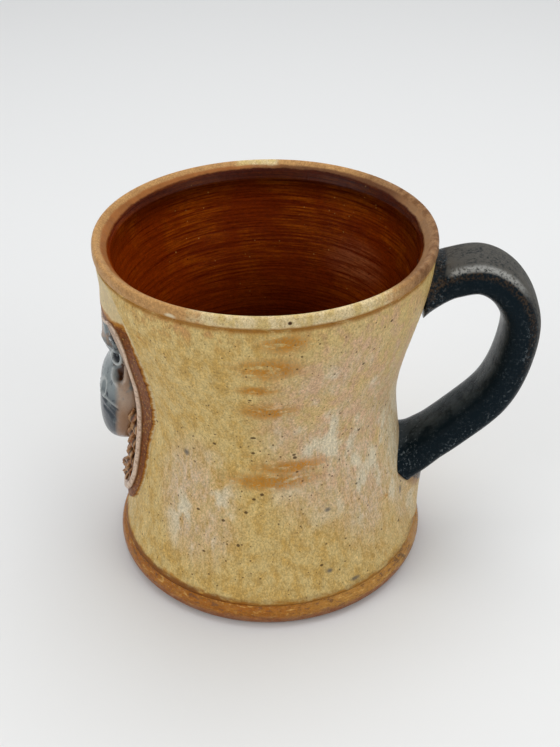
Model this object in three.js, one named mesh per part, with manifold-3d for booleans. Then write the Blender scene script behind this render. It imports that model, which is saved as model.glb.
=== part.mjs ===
// A waisted stoneware mug with an ear handle and, opposite it, a raised plaque with an animal's head.
// Millimetres, +Z up. The origin is on the mug's axis, on the surface that it stands on.
// +X points to the handle and -X to the plaque, and the mug is alike on both sides of the XZ plane.
import * as THREE from "three";
import { mergeVertices } from "three/addons/utils/BufferGeometryUtils.js";
import Module from "manifold-3d";

const wasm = await Module();
wasm.setup();

// Driving dimensions of the cup
const mugHeight = 102.4;
const lipRadius = 46;
const lipBandHeight = 3.8;
const lipBandStep = 0.35;
const lipThickness = 4.2;
const lipRound = 1.4;
const grooveDepth = 0.6;
const waistRadius = 37.2;
const waistHeight = 53;
const footFlarePower = 1.45;
const wallThickness = 4.5;
const floorFillet = 6;
const footSpread = 0.35;
const footStep = 2.05;
const slabThickness = 8;

// Driving dimensions of the handle
const handleReach = 69.7;
const handleCrownDrop = 11.2;
const upperRootDrop = 15.4;
const lowerRootHeight = 32.8;
const handleThickness = 10.5;
const handleWidth = 18;
const handleTopSquareness = 0.62;
const handleUnderSquareness = 0.82;
const upperRootFlare = 6;
const upperFlareSpan = 0.16;
const upperFlarePower = 1.5;
const lowerRootFlare = 2.2;
const lowerFlareSpan = 0.12;
const tailDrop = 4;
const tailHeight = 7.4;
const tailFootHeight = 1.1;
const tailThinning = 0.75;
const tailHalfWidth = 10.5;
const tailFootHalfWidth = 8.5;

// Driving dimensions of the plaque and of what is on it
const plaqueFootGap = 6;
const plaqueTopGap = 1.8;
const plaqueHalfWidth = 32;
const plaqueThickness = 1.3;
const plaqueEdge = 0.6;
const plaqueFadeSpan = 9;
const borderWidth = 2.5;
const borderHeight = 0.9;
const headEdge = 0.5;
const muzzleHeight = 11.9;
const browHeight = 7.1;
const earLength = 8.4;
const earWidth = 5.2;
const earHeight = 2.3;
const earBend = 1.2;
const earHollow = 1.2;
const earHollowStart = 0.22;
const earHollowEnd = 0.88;
const eyeRadius = 1.7;
const eyelidThickness = 1.1;
const eyelidOverlap = 0.15;
const eyelidSeat = 0.25;
const nostrilRadius = 1.1;
const mouthRadius = 0.7;
const tearPitRadius = 1.5;
const locksPerSide = 6;
const lockLength = 8.6;
const lockWidth = 4.2;
const lockHeight = 2.4;
const lockBend = 1.1;
const lockSlant = 0.55;

// Pieces that touch are left this far apart
const clearance = 0.3;

// Smoothness
const turnSteps = 60;
const outlineSteps = 44;
const handleSides = 16;
const handleSteps = 36;

// The foot is a little wider than the lip, and the wall stands a step inside its edge
const slabRadius = lipRadius + footSpread;
const wallFootRadius = slabRadius - footStep;
const slabTop = slabThickness;
const bandBottom = mugHeight - lipBandHeight;
const wallTopRadius = lipRadius - lipBandStep;
const smooth = (share) => share * share * (3 - 2 * share);
const mix = (a, b, share) => a + (b - a) * share;

// The wall's outer radius: a long flare below the waist and an S-curve above it
function outerRadius(z) {
  if (z <= waistHeight) {
    const share = (waistHeight - Math.max(z, slabTop)) / (waistHeight - slabTop);
    return mix(waistRadius, wallFootRadius, share ** footFlarePower);
  }
  const share = Math.min((z - waistHeight) / (bandBottom - waistHeight), 1);
  return mix(waistRadius, wallTopRadius, smooth(share));
}

// A geometry without seams: shared corners are merged and empty triangles dropped
function sealed(geometry) {
  geometry.deleteAttribute("normal");
  geometry.deleteAttribute("uv");
  const merged = mergeVertices(geometry, 1e-4);
  const index = merged.index.array;
  const kept = [];
  for (let i = 0; i < index.length; i += 3) {
    const [a, b, c] = [index[i], index[i + 1], index[i + 2]];
    if (a !== b && b !== c && c !== a) kept.push(a, b, c);
  }
  merged.setIndex(kept);
  return merged;
}

function toSolid(geometry) {
  const vertProperties = Float32Array.from(geometry.attributes.position.array);
  const triVerts = Uint32Array.from(geometry.index.array);
  return new wasm.Manifold(new wasm.Mesh({ numProp: 3, vertProperties, triVerts }));
}

function toGeometry(solid) {
  const mesh = solid.getMesh();
  const geometry = new THREE.BufferGeometry();
  geometry.setAttribute("position", new THREE.BufferAttribute(Float32Array.from(mesh.vertProperties), 3));
  geometry.setIndex(Array.from(mesh.triVerts));
  return geometry;
}

// What is left of a geometry once others are cut away from it
function cut(geometry, ...cutters) {
  return toGeometry(cutters.reduce((rest, cutter) => rest.subtract(toSolid(cutter)), toSolid(geometry)));
}

// A profile of [radius, height] points turned about the axis
function turned(profile) {
  const points = profile.map(([radius, height]) => new THREE.Vector2(radius, height));
  const geometry = new THREE.LatheGeometry(points, turnSteps);
  geometry.rotateX(Math.PI / 2);
  return sealed(geometry);
}

// Rings with equally many points, skinned one to the next. An open skin gets a fan over each end,
// and a looped one runs from its last ring back to its first.
function loft(rings, looped = false) {
  const sides = rings[0].length;
  const positions = [];
  const index = [];
  rings.forEach((ring) => ring.forEach((p) => positions.push(p.x, p.y, p.z)));
  const spans = looped ? rings.length : rings.length - 1;
  for (let r = 0; r < spans; r += 1) {
    for (let k = 0; k < sides; k += 1) {
      const next = (k + 1) % sides;
      const here = r * sides;
      const there = ((r + 1) % rings.length) * sides;
      index.push(here + k, here + next, there + next, here + k, there + next, there + k);
    }
  }
  const fan = (ring, first, towardsStart) => {
    const middle = ring.reduce((sum, p) => sum.add(p), new THREE.Vector3()).divideScalar(sides);
    const hub = positions.length / 3;
    positions.push(middle.x, middle.y, middle.z);
    for (let k = 0; k < sides; k += 1) {
      const [a, b] = [first + k, first + ((k + 1) % sides)];
      index.push(hub, towardsStart ? b : a, towardsStart ? a : b);
    }
  };
  if (!looped) {
    fan(rings[0], 0, true);
    fan(rings[rings.length - 1], (rings.length - 1) * sides, false);
  }
  const geometry = new THREE.BufferGeometry();
  geometry.setAttribute("position", new THREE.Float32BufferAttribute(positions, 3));
  geometry.setIndex(index);
  return geometry;
}

// The cup

function baseSlab() {
  const round = slabThickness / 2;
  const profile = [[0, 0]];
  for (let step = 0; step <= 8; step += 1) {
    const angle = -Math.PI / 2 + (Math.PI * step) / 8;
    profile.push([slabRadius - round + round * Math.cos(angle), round + round * Math.sin(angle)]);
  }
  profile.push([0, slabTop]);
  return turned(profile);
}

function bodyWall() {
  const innerLip = lipRadius - lipThickness;
  const innerRadius = (z) => outerRadius(z) - wallThickness;
  const outerSteps = 12;
  const innerSteps = 8;
  const profile = [];
  for (let step = 0; step <= outerSteps; step += 1) {
    const z = mix(slabTop, bandBottom - 1, step / outerSteps);
    profile.push([outerRadius(z), z]);
  }
  profile.push([wallTopRadius - grooveDepth, bandBottom - 0.4]);
  profile.push([wallTopRadius, bandBottom]);
  profile.push([lipRadius, bandBottom + 0.8]);
  profile.push([lipRadius, mugHeight - lipRound]);
  profile.push([lipRadius - lipRound * 0.3, mugHeight - lipRound * 0.3]);
  profile.push([lipRadius - lipRound, mugHeight]);
  profile.push([innerLip + lipRound, mugHeight - 0.3]);
  profile.push([innerLip + lipRound * 0.3, mugHeight - lipRound * 0.7]);
  profile.push([innerLip, mugHeight - lipRound * 1.8]);
  const filletTop = slabTop + floorFillet;
  for (let step = 1; step <= innerSteps; step += 1) {
    const z = mix(mugHeight - lipRound * 2, filletTop, step / innerSteps);
    profile.push([innerRadius(z), z]);
  }
  for (let step = 1; step <= 3; step += 1) {
    const angle = ((Math.PI / 2) * step) / 3;
    const inward = floorFillet * (1 - Math.cos(angle));
    profile.push([innerRadius(filletTop) - inward, filletTop - floorFillet * Math.sin(angle)]);
  }
  profile.push(profile[0]);
  return turned(profile);
}

// Everything inside the wall's outer face, with some room round it
function wallCutter(room) {
  const profile = [[0, slabTop - 5]];
  for (let step = 0; step <= 24; step += 1) {
    const z = mix(slabTop - 5, mugHeight + 5, step / 24);
    profile.push([outerRadius(z) + room, z]);
  }
  profile.push([0, mugHeight + 5]);
  return turned(profile);
}

// The handle's lower end, smeared down the wall to the foot: a low pad that thins as it goes down
function tail() {
  const top = lowerRootHeight - tailDrop;
  const foot = slabTop + clearance;
  const rings = [];
  for (let step = 0; step <= 6; step += 1) {
    const share = step / 6;
    const z = mix(top, foot, share);
    const proud = mix(tailHeight, tailFootHeight, share ** tailThinning);
    const halfTurn = mix(tailHalfWidth, tailFootHalfWidth, share) / outerRadius(z);
    const point = (turn, reach) => new THREE.Vector3(reach * Math.cos(turn), reach * Math.sin(turn), z);
    const ring = [point(-halfTurn, outerRadius(z) - 2), point(halfTurn, outerRadius(z) - 2)];
    for (let side = 0; side <= 8; side += 1) {
      const angle = Math.PI * (0.5 - side / 8);
      ring.push(point(halfTurn * Math.sin(angle), outerRadius(z) + mix(-1, proud, Math.cos(angle))));
    }
    rings.push(ring);
  }
  return loft(rings);
}

// The handle: a line through shares of its reach and of its rise, and a rounded section carried along it,
// which spreads down the wall at the upper root and all round at the lower one

function handle() {
  const crown = mugHeight - handleCrownDrop;
  const upperRoot = mugHeight - upperRootDrop;
  const rootRadius = outerRadius(upperRoot) - 1;
  const out = (share) => mix(rootRadius, handleReach, share);
  const rise = (share) => mix(lowerRootHeight, crown, share);
  const shape = [
    [0.28, 0.98], [0.56, 1], [0.8, 0.94], [0.99, 0.79], [0.975, 0.58],
    [0.8, 0.35], [0.41, 0.15], [0.04, 0], [-0.17, -0.07],
  ];
  const points = [new THREE.Vector3(rootRadius, 0, upperRoot)];
  shape.forEach(([reach, height]) => points.push(new THREE.Vector3(out(reach), 0, rise(height))));
  const line = new THREE.CatmullRomCurve3(points, false, "centripetal");
  const downTheWall = new THREE.Vector3(-0.6, 0, -0.8);
  const rings = [];
  for (let step = 0; step <= handleSteps; step += 1) {
    const share = step / handleSteps;
    const centre = line.getPointAt(share);
    const along = line.getTangentAt(share);
    const outward = new THREE.Vector3(-along.z, 0, along.x);
    const upperFlare = upperRootFlare * Math.max(1 - share / upperFlareSpan, 0) ** upperFlarePower;
    const lowerFlare = lowerRootFlare * Math.max(1 - (1 - share) / lowerFlareSpan, 0);
    const halfDepth = (handleThickness + lowerFlare) / 2;
    const halfWidth = (handleWidth + upperFlare * 0.6 + lowerFlare) / 2;
    const ring = [];
    for (let side = 0; side < handleSides; side += 1) {
      const angle = (2 * Math.PI * side) / handleSides;
      const power = Math.cos(angle) > 0 ? handleTopSquareness : handleUnderSquareness;
      const thick = Math.sign(Math.cos(angle)) * Math.abs(Math.cos(angle)) ** power;
      const wide = -Math.sign(Math.sin(angle)) * Math.abs(Math.sin(angle)) ** power;
      const point = centre.clone().addScaledVector(outward, thick * halfDepth);
      point.addScaledVector(downTheWall, Math.max(-thick, 0) * upperFlare);
      point.y += wide * halfWidth;
      ring.push(point);
    }
    rings.push(ring);
  }
  return toGeometry(toSolid(loft(rings)).add(toSolid(tail())).subtract(toSolid(wallCutter(clearance))));
}

// The plaque is laid out flat, across in shares of its half width and up in shares of its height,
// and then bent round the wall. To the right, as one looks at it, is -Y.

const plaqueFoot = slabTop + plaqueFootGap;
const plaqueTop = bandBottom - plaqueTopGap;
const across = (share) => share * plaqueHalfWidth;
const upward = (share) => mix(plaqueFoot, plaqueTop, share);

function onWall(s, z, proud) {
  const radius = outerRadius(z);
  const angle = Math.PI + s / radius;
  return new THREE.Vector3((radius + proud) * Math.cos(angle), (radius + proud) * Math.sin(angle), z);
}

// A closed outline, alike on both sides, from the points of its right half given from top to bottom
function mirrored(half) {
  const right = half.map(([u, v]) => new THREE.Vector3(across(u), upward(v), 0));
  const left = right.slice(1, -1).reverse().map((p) => new THREE.Vector3(-p.x, p.y, 0));
  const curve = new THREE.CatmullRomCurve3([...right, ...left], true, "centripetal");
  return curve.getSpacedPoints(outlineSteps).slice(0, outlineSteps);
}

// A smooth value from [share of height, value] pairs given from top to bottom
function profileAt(pairs, share) {
  if (share >= pairs[0][0]) return pairs[0][1];
  for (let i = 1; i < pairs.length; i += 1) {
    const [below, value] = pairs[i];
    const [above, start] = pairs[i - 1];
    if (share >= below) return mix(value, start, smooth((share - below) / (above - below)));
  }
  return pairs[pairs.length - 1][1];
}

const footOutline = mirrored([
  [0, 0.905], [0.25, 0.912], [0.47, 0.955], [0.66, 1], [0.86, 0.972], [0.97, 0.924], [1, 0.845],
  [0.963, 0.743], [0.866, 0.604], [0.76, 0.471], [0.681, 0.374], [0.65, 0.266], [0.594, 0.157],
  [0.453, 0.066], [0.234, 0.016], [0, 0],
]);
const borderOutline = mirrored([
  [0, 0.81], [0.375, 0.82], [0.656, 0.855], [0.82, 0.884], [0.905, 0.868], [0.89, 0.797],
  [0.81, 0.7], [0.68, 0.58], [0.575, 0.465], [0.55, 0.374], [0.545, 0.29], [0.525, 0.205],
  [0.45, 0.127], [0.25, 0.072], [0, 0.055],
]);
const headOutline = mirrored([
  [0, 0.782], [0.16, 0.773], [0.27, 0.745], [0.325, 0.69], [0.315, 0.635], [0.335, 0.58],
  [0.39, 0.52], [0.41, 0.465], [0.4, 0.4], [0.345, 0.335], [0.24, 0.283], [0.12, 0.256], [0, 0.249],
]);
const headMiddle = new THREE.Vector3(0, upward(0.51), 0);
const fieldTop = clearance + plaqueThickness;

// Skins a patch from nested rings of [s, z, proud] points, outermost first, down to a middle point,
// above an underside that is parallel to the wall
function patch(rings, middle, under) {
  const above = rings.map((ring) => ring.map(([s, z, proud]) => onWall(s, z, proud)));
  const below = rings.map((ring) => ring.map(([s, z]) => onWall(s, z, under)));
  const geometry = loft([...above.reverse(), ...below]);
  const position = geometry.attributes.position;
  const overHub = onWall(middle[0], middle[1], middle[2]);
  const underHub = onWall(middle[0], middle[1], under);
  position.setXYZ(position.count - 2, overHub.x, overHub.y, overHub.z);
  position.setXYZ(position.count - 1, underHub.x, underHub.y, underHub.z);
  return geometry;
}

// A bevelled slab whose bevel fades into the wall towards its top
function plaque() {
  const edge = clearance + plaqueEdge;
  const thinEdge = clearance * 2;
  const centre = new THREE.Vector3(0, upward(0.5), 0);
  const rings = [0, 0.35, 0.7, 1].map((share) =>
    footOutline.map((p, i) => {
      const q = p.clone().lerp(borderOutline[i], share);
      const proud = mix(edge, fieldTop, Math.sin((share * Math.PI) / 2));
      const fade = smooth(Math.min(Math.max((plaqueTop - q.y) / plaqueFadeSpan, 0), 1));
      return [q.x, q.y, mix(thinEdge, proud, fade)];
    }),
  );
  [0.78, 0.56, 0.34, 0.14].forEach((share) =>
    rings.push(borderOutline.map((p) => {
      const q = centre.clone().lerp(p, share);
      return [q.x, q.y, fieldTop];
    })),
  );
  return patch(rings, [centre.x, centre.y, fieldTop], clearance);
}

function border(room = 0) {
  const under = fieldTop + clearance - room;
  const rings = borderOutline.map((p, i) => {
    const before = borderOutline[(i + outlineSteps - 1) % outlineSteps];
    const after = borderOutline[(i + 1) % outlineSteps];
    const along = after.clone().sub(before).normalize();
    const side = new THREE.Vector3(along.y, -along.x, 0);
    return [0, 1, 2, 3, 4, 5].map((step) => {
      const angle = (Math.PI * step) / 5;
      const q = p.clone().addScaledVector(side, -Math.cos(angle) * (borderWidth / 2 + room));
      return onWall(q.x, q.y, under + (borderHeight + 2 * room) * Math.sin(angle));
    });
  });
  return loft(rings, true);
}

// The head: how proud it stands along its middle, and a section that falls away from there to its outline

const headUnder = fieldTop + clearance;
const headProfile = [
  [0.782, headUnder + 2.2], [0.73, browHeight - 1.7], [0.66, browHeight], [0.61, browHeight - 0.7],
  [0.53, muzzleHeight - 1.3], [0.46, muzzleHeight - 0.1], [0.38, muzzleHeight], [0.31, muzzleHeight - 1.3],
  [0.27, muzzleHeight - 3.3], [0.249, headUnder + 2],
];
const browRoundness = 1.6;
const muzzleRoundness = 2.2;

// How far the head reaches to either side at a height
function headReach(z) {
  let reach = 0;
  headOutline.forEach((p, i) => {
    const q = headOutline[(i + 1) % outlineSteps];
    const share = (z - p.y) / (q.y - p.y);
    if (share >= 0 && share <= 1) reach = Math.max(reach, Math.abs(mix(p.x, q.x, share)));
  });
  return reach;
}

function headProud(s, z) {
  const level = (z - plaqueFoot) / (plaqueTop - plaqueFoot);
  const roundness = profileAt([[0.64, browRoundness], [0.5, muzzleRoundness]], level);
  const share = Math.min(Math.abs(s) / Math.max(headReach(z), 0.01), 1);
  const section = Math.max(1 - share ** roundness, 0) ** (1 / roundness);
  return mix(headUnder + headEdge, profileAt(headProfile, level), section);
}

// Where something sits on the head: its place and the directions round, up and out there
function onHead(u, v) {
  const [s, z] = [across(u), upward(v)];
  const at = (a, b) => onWall(a, b, headProud(a, b));
  const place = at(s, z);
  const round = at(s + 0.5, z).sub(at(s - 0.5, z)).normalize();
  const up = at(s, z + 0.5).sub(at(s, z - 0.5)).normalize();
  const out = new THREE.Vector3().crossVectors(round, up).normalize();
  if (out.dot(new THREE.Vector3(place.x, place.y, 0)) < 0) out.negate();
  const turn = new THREE.Matrix4().makeBasis(new THREE.Vector3().crossVectors(up, out), up, out);
  return { place, out, turn: turn.setPosition(place) };
}

function bead(u, v, radius, flatness) {
  const geometry = new THREE.SphereGeometry(radius, 12, 7);
  geometry.scale(1, 1, flatness);
  geometry.applyMatrix4(onHead(u, v).turn);
  return sealed(geometry);
}

// A rounded groove that follows the head through [u, v] points, thinning to both ends
function groove(points, radius) {
  const line = new THREE.CatmullRomCurve3(points.map(([u, v]) => onHead(u, v).place));
  const steps = points.length * 3;
  const rings = [];
  for (let step = 0; step <= steps; step += 1) {
    const share = step / steps;
    const centre = line.getPoint(share);
    const along = line.getTangent(share);
    const out = new THREE.Vector3(centre.x, centre.y, 0).normalize();
    const side = new THREE.Vector3().crossVectors(along, out).normalize();
    const lift = new THREE.Vector3().crossVectors(side, along).normalize();
    const size = radius * (0.35 + 0.65 * Math.sin(Math.PI * share));
    const ring = [];
    for (let k = 0; k < 7; k += 1) {
      const angle = (2 * Math.PI * k) / 7;
      const sideways = centre.clone().addScaledVector(side, size * Math.cos(angle));
      ring.push(sideways.addScaledVector(lift, -size * Math.sin(angle)));
    }
    rings.push(ring);
  }
  return loft(rings);
}

const eyePlace = [0.29, 0.643];
const nostrilLine = [[0.19, 0.537], [0.235, 0.51], [0.24, 0.48], [0.2, 0.458]];
const halfMouthLine = [[0.12, 0.414], [0.235, 0.43], [0.34, 0.45]];
const mouthLine = [...halfMouthLine.map(([u, v]) => [-u, v]).reverse(), [0, 0.402], ...halfMouthLine];
const tearPitPlace = [0.27, 0.57];
const eyeFlatness = 0.75;
const both = (make) => [1, -1].map((side) => make(side));
const eyeBead = (side, room) => bead(side * eyePlace[0], eyePlace[1], eyeRadius + room, eyeFlatness);

// A ring round the eye, half sunk into the head
function eyelidRing(side, room) {
  const middle = eyeRadius + eyelidThickness / 2 - eyelidOverlap;
  const ring = new THREE.TorusGeometry(middle, eyelidThickness / 2 + room, 6, 15);
  ring.translate(0, 0, eyelidSeat);
  ring.applyMatrix4(onHead(side * eyePlace[0], eyePlace[1]).turn);
  return sealed(ring);
}

function head(room = 0) {
  const rings = [1, 0.96, 0.88, 0.76, 0.6, 0.4, 0.2].map((share) =>
    headOutline.map((p) => {
      const q = headMiddle.clone().lerp(p, share);
      const away = q.clone().lerp(headMiddle, -room / p.distanceTo(headMiddle));
      return [away.x, away.y, headProud(q.x, q.y) + room];
    }),
  );
  const { x, y } = headMiddle;
  return patch(rings, [x, y, headProud(x, y) + room], headUnder - room);
}

function carvedHead() {
  const cutters = both((side) => [
    eyeBead(side, clearance),
    eyelidRing(side, clearance),
    groove(nostrilLine.map(([u, v]) => [u * side, v]), nostrilRadius),
    bead(side * tearPitPlace[0], tearPitPlace[1], tearPitRadius, 0.8),
  ]).flat();
  return cut(head(), ...cutters, groove(mouthLine, mouthRadius));
}

// A flat-bottomed leaf laid on the plaque along [s, z] points, widest near its root and pointed at its tip
function leaf(points, width, height, under, rootShare) {
  const line = new THREE.CatmullRomCurve3(points.map(([s, z]) => new THREE.Vector3(s, z, 0)));
  const rings = [];
  for (let step = 0; step <= 7; step += 1) {
    const share = step / 7;
    const centre = line.getPointAt(share);
    const along = line.getTangentAt(share);
    const side = new THREE.Vector3(along.y, -along.x, 0);
    const fullness = Math.max(Math.sin(Math.PI * share ** rootShare), 0.12) ** 0.7;
    rings.push([0, 1, 2, 3, 4].map((k) => {
      const angle = (Math.PI * k) / 4;
      const q = centre.clone().addScaledVector(side, (-Math.cos(angle) * width * fullness) / 2);
      return onWall(q.x, q.y, under + height * fullness * Math.max(Math.sin(angle), 0));
    }));
  }
  return loft(rings);
}

// The ears lean up and outwards from a root beside the brow
const earRoot = new THREE.Vector2(across(0.235), upward(0.683));
const earLean = new THREE.Vector2(0.82, 0.57);
const earRootShare = 0.75;

function earPath(side, start, end) {
  return [start, (start + end) / 2, end].map((share) => {
    const bend = earBend * Math.sin(Math.PI * share);
    const reach = share * earLength;
    return [side * (earRoot.x + earLean.x * reach), earRoot.y + earLean.y * reach - bend];
  });
}

function ear(side) {
  const hollowFloor = headUnder + earHeight - earHollow;
  const hollowPath = earPath(side, earHollowStart, earHollowEnd);
  const blank = leaf(earPath(side, 0, 1), earWidth, earHeight, headUnder, earRootShare);
  const hollow = leaf(hollowPath, earWidth / 2, earHeight, hollowFloor, earRootShare);
  return cut(blank, hollow, head(clearance), border(clearance), eyelidRing(side, clearance));
}

// The mane: short locks laid slantwise along the inside of the border, each tucked against the one above

const manePath = new THREE.CatmullRomCurve3(
  [[0.475, 0.44], [0.46, 0.375], [0.445, 0.29], [0.395, 0.205], [0.3, 0.145], [0.15, 0.125]]
    .map(([u, v]) => new THREE.Vector3(across(u), upward(v), 0)),
);

const lockRootShare = 0.7;

function lock(side, number, room) {
  const share = number / (locksPerSide - 1);
  const root = manePath.getPointAt(share);
  const along = manePath.getTangentAt(share);
  const slant = along.clone().applyAxisAngle(new THREE.Vector3(0, 0, 1), lockSlant);
  const points = [-0.5, -0.1, 0.25, 0.5].map((step) => {
    const q = root.clone().addScaledVector(slant, step * (lockLength + 2 * room));
    q.addScaledVector(new THREE.Vector3(slant.y, -slant.x, 0), lockBend * Math.sin(Math.PI * (step + 0.5)));
    return [side * q.x, q.y];
  });
  return leaf(points, lockWidth + 2 * room, lockHeight + room, headUnder - room, lockRootShare);
}

const mug = new THREE.Group();
const amberClay = 0xa8682f;
const creamGlaze = 0xcdb583;
const blackGlaze = 0x23272c;
const ironWash = 0x8d6444;
const paleClay = 0xc2a189;
const greyGlaze = 0x6f7d86;
const paleGrey = 0x9aa6ab;
const pupilBlack = 0x14181d;
const brownWash = 0x9a6a43;

function add(name, geometry, color, roughness) {
  const material = new THREE.MeshStandardMaterial({ color, roughness, metalness: 0 });
  const mesh = new THREE.Mesh(geometry, material);
  mesh.name = name;
  mug.add(mesh);
}

add("base_slab", baseSlab(), amberClay, 0.5);
add("body_wall", bodyWall(), creamGlaze, 0.45);
add("handle", handle(), blackGlaze, 0.35);
add("medallion_plaque", plaque(), ironWash, 0.6);
add("medallion_border", border(), paleClay, 0.5);
add("head", carvedHead(), greyGlaze, 0.3);
[["left", 1], ["right", -1]].forEach(([name, side]) => {
  add(`ear_${name}`, ear(side), greyGlaze, 0.35);
  add(`eye_${name}`, eyeBead(side, 0), pupilBlack, 0.15);
  add(`eyelid_${name}`, cut(eyelidRing(side, 0), eyeBead(side, clearance)), paleGrey, 0.3);
  for (let number = 0; number < locksPerSide; number += 1) {
    const neighbours = number ? [lock(side, number - 1, clearance)] : [];
    const shape = cut(lock(side, number, 0), head(clearance), border(clearance), ...neighbours);
    add(`mane_${name}_${number + 1}`, shape, brownWash, 0.5);
  }
});

export default mug;
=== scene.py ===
# A waisted stoneware mug with an ear handle and, opposite it, a medallion with an animal's head.
# Sizes are in millimetres until a mesh is made of them. +Z is up, +X points to the handle, -X to the
# medallion and -Y to the camera. The origin is on the mug's axis, on the surface that it stands on.
import math

import bmesh
import bpy
import numpy as np
from mathutils import Matrix


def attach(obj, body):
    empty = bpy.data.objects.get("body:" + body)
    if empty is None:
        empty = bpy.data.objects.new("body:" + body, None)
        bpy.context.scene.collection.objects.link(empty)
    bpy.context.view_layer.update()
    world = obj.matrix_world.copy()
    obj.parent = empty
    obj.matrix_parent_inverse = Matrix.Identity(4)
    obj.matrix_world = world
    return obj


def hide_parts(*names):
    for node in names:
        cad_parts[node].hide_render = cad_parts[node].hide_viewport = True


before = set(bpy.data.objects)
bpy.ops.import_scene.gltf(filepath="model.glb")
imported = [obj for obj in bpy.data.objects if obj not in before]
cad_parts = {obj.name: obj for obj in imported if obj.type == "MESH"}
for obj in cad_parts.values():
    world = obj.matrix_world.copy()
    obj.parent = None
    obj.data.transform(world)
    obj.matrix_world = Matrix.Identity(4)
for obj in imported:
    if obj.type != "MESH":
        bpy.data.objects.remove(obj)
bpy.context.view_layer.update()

MM_PER_METRE = 1000

# Sizes of the cup
MUG_HEIGHT = 102.4
LIP_RADIUS = 46.0
LIP_BAND_HEIGHT = 3.8
LIP_BAND_STEP = 0.35
LIP_THICKNESS = 4.2
WAIST_RADIUS = 37.2
WAIST_HEIGHT = 53.0
FOOT_FLARE_POWER = 1.45
WALL_THICKNESS = 4.5
FLOOR_FILLET = 6.0
SLAB_RADIUS = 46.35
WALL_FOOT_RADIUS = 44.3
SLAB_TOP = 8.0
# The wall is spread by this much where it is joined to the slab
JOINT_SPREAD = 0.5
# A line tooled in the foot's roll: its depth, and its place and width as turns round the roll
TOOLED_DEPTH = 0.14
TOOLED_TURN = 0.75
TOOLED_WIDTH = 0.10
BAND_BOTTOM = MUG_HEIGHT - LIP_BAND_HEIGHT
WALL_TOP_RADIUS = LIP_RADIUS - LIP_BAND_STEP

# Sizes of the handle
# Its course from the upper root to the lower one, in shares of its reach and of its height
HANDLE_COURSE = [
    (0.28, 0.98), (0.56, 1), (0.8, 0.94), (0.99, 0.79), (0.975, 0.58),
    (0.8, 0.35), (0.41, 0.15), (0.04, 0), (-0.17, -0.07),
]
HANDLE_REACH = 69.7
HANDLE_CROWN = 91.2
UPPER_ROOT = 87.0
LOWER_ROOT = 32.8
HANDLE_THICKNESS = 10.5
HANDLE_WIDTH = 18.0
TOP_SQUARENESS = 0.62
UNDER_SQUARENESS = 0.82
UPPER_FLARE = 4.2
UPPER_FLARE_SPAN = 0.09
UPPER_FLARE_POWER = 2.4
# How much of the upper flare goes towards the wall, down it and to the sides
FLARE_IN = 0.6
FLARE_DOWN = 0.8
FLARE_ASIDE = 0.6
LOWER_FLARE = 2.2
LOWER_FLARE_SPAN = 0.12
ROOT_FILLET = 0.8
ROOT_FILLET_REACH = 3.2
TAIL_DROP = 4.0
TAIL_HEIGHT = 7.4
TAIL_FOOT_HEIGHT = 1.1
TAIL_THINNING = 0.75
TAIL_HALF_WIDTH = 11.5
TAIL_FOOT_HALF_WIDTH = 9.5
TAIL_ROUNDNESS = 1.5
# How deep the tail's back lies in the wall
TAIL_BACK = 2.0

# Sizes of the medallion and of what is on it. Places are shares of its half width and of its height.
PLAQUE_FOOT = SLAB_TOP + 6.0
PLAQUE_TOP = BAND_BOTTOM - 1.8
PLAQUE_HALF_WIDTH = 32.0
PLAQUE_EDGE = 0.9
FIELD_TOP = 1.6
PLAQUE_FADE = 9.0
BORDER_WIDTH = 2.5
BORDER_HEIGHT = 0.9
# The border is pressed down by two waves that don't keep time, in radians for each step along it
PRESS_WAVE = 0.41
SLOW_PRESS_WAVE = 0.137
HEAD_UNDER = 1.9
HEAD_EDGE = 0.5
MUZZLE_HEIGHT = 11.9
BROW_HEIGHT = 7.1
EYE_RADIUS = 1.75
EYE_FLATNESS = 0.75
EYE_PLACE = (0.300, 0.640)
# How far an eye looks round from the front and up, in radians, and how deep it sits
EYE_TURN = 0.85
EYE_TILT = 0.2
EYE_SINK = 0.55
EYELID_THICKNESS = 1.1
EAR_LENGTH = 8.4
EAR_WIDTH = 5.2
EAR_HEIGHT = 2.3
EAR_PLACE = (0.235, 0.683)
EAR_LEAN = (0.82, 0.57)
EAR_BOW = 1.2
EAR_DISH = 1.5
LOCKS_PER_SIDE = 6
LOCK_LENGTH = 8.6
LOCK_WIDTH = 4.2
# How far a lock turns from the mane's course, in radians
LOCK_SLANT = 0.55
LOCK_BEND = 1.1
LOCK_TURNS = 0.85
LOCK_FLATNESS = 0.22
# The least share of its width that a lock has at its ends
LOCK_END_WIDTH = 0.10
MANE_COURSE = [(0.465, 0.415), (0.455, 0.36), (0.445, 0.29), (0.395, 0.205), (0.3, 0.145), (0.15, 0.125)]
# How far a piece's underside goes into the wall
SINK = 0.4

# Fineness of the meshes
TURN_STEPS = 300
OUTLINE_STEPS = 300
HANDLE_SIDES = 84
HANDLE_STEPS = 190
HEAD_RINGS = 110
WALL_STEPS = 130
LIP_STEPS = 110
FLOOR_STEPS = 60
TAIL_SIDES = 49
TAIL_RINGS = 50
BORDER_SIDES = 26
EYE_SIDES = 40
EYE_RINGS = 30
EYELID_SIDES = 20
EYELID_RINGS = 72
EAR_SIDES = 40
EAR_RINGS = 40
MANE_STEPS = 101
LOCK_POINTS = 14
LOCK_STEPS = 90

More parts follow.
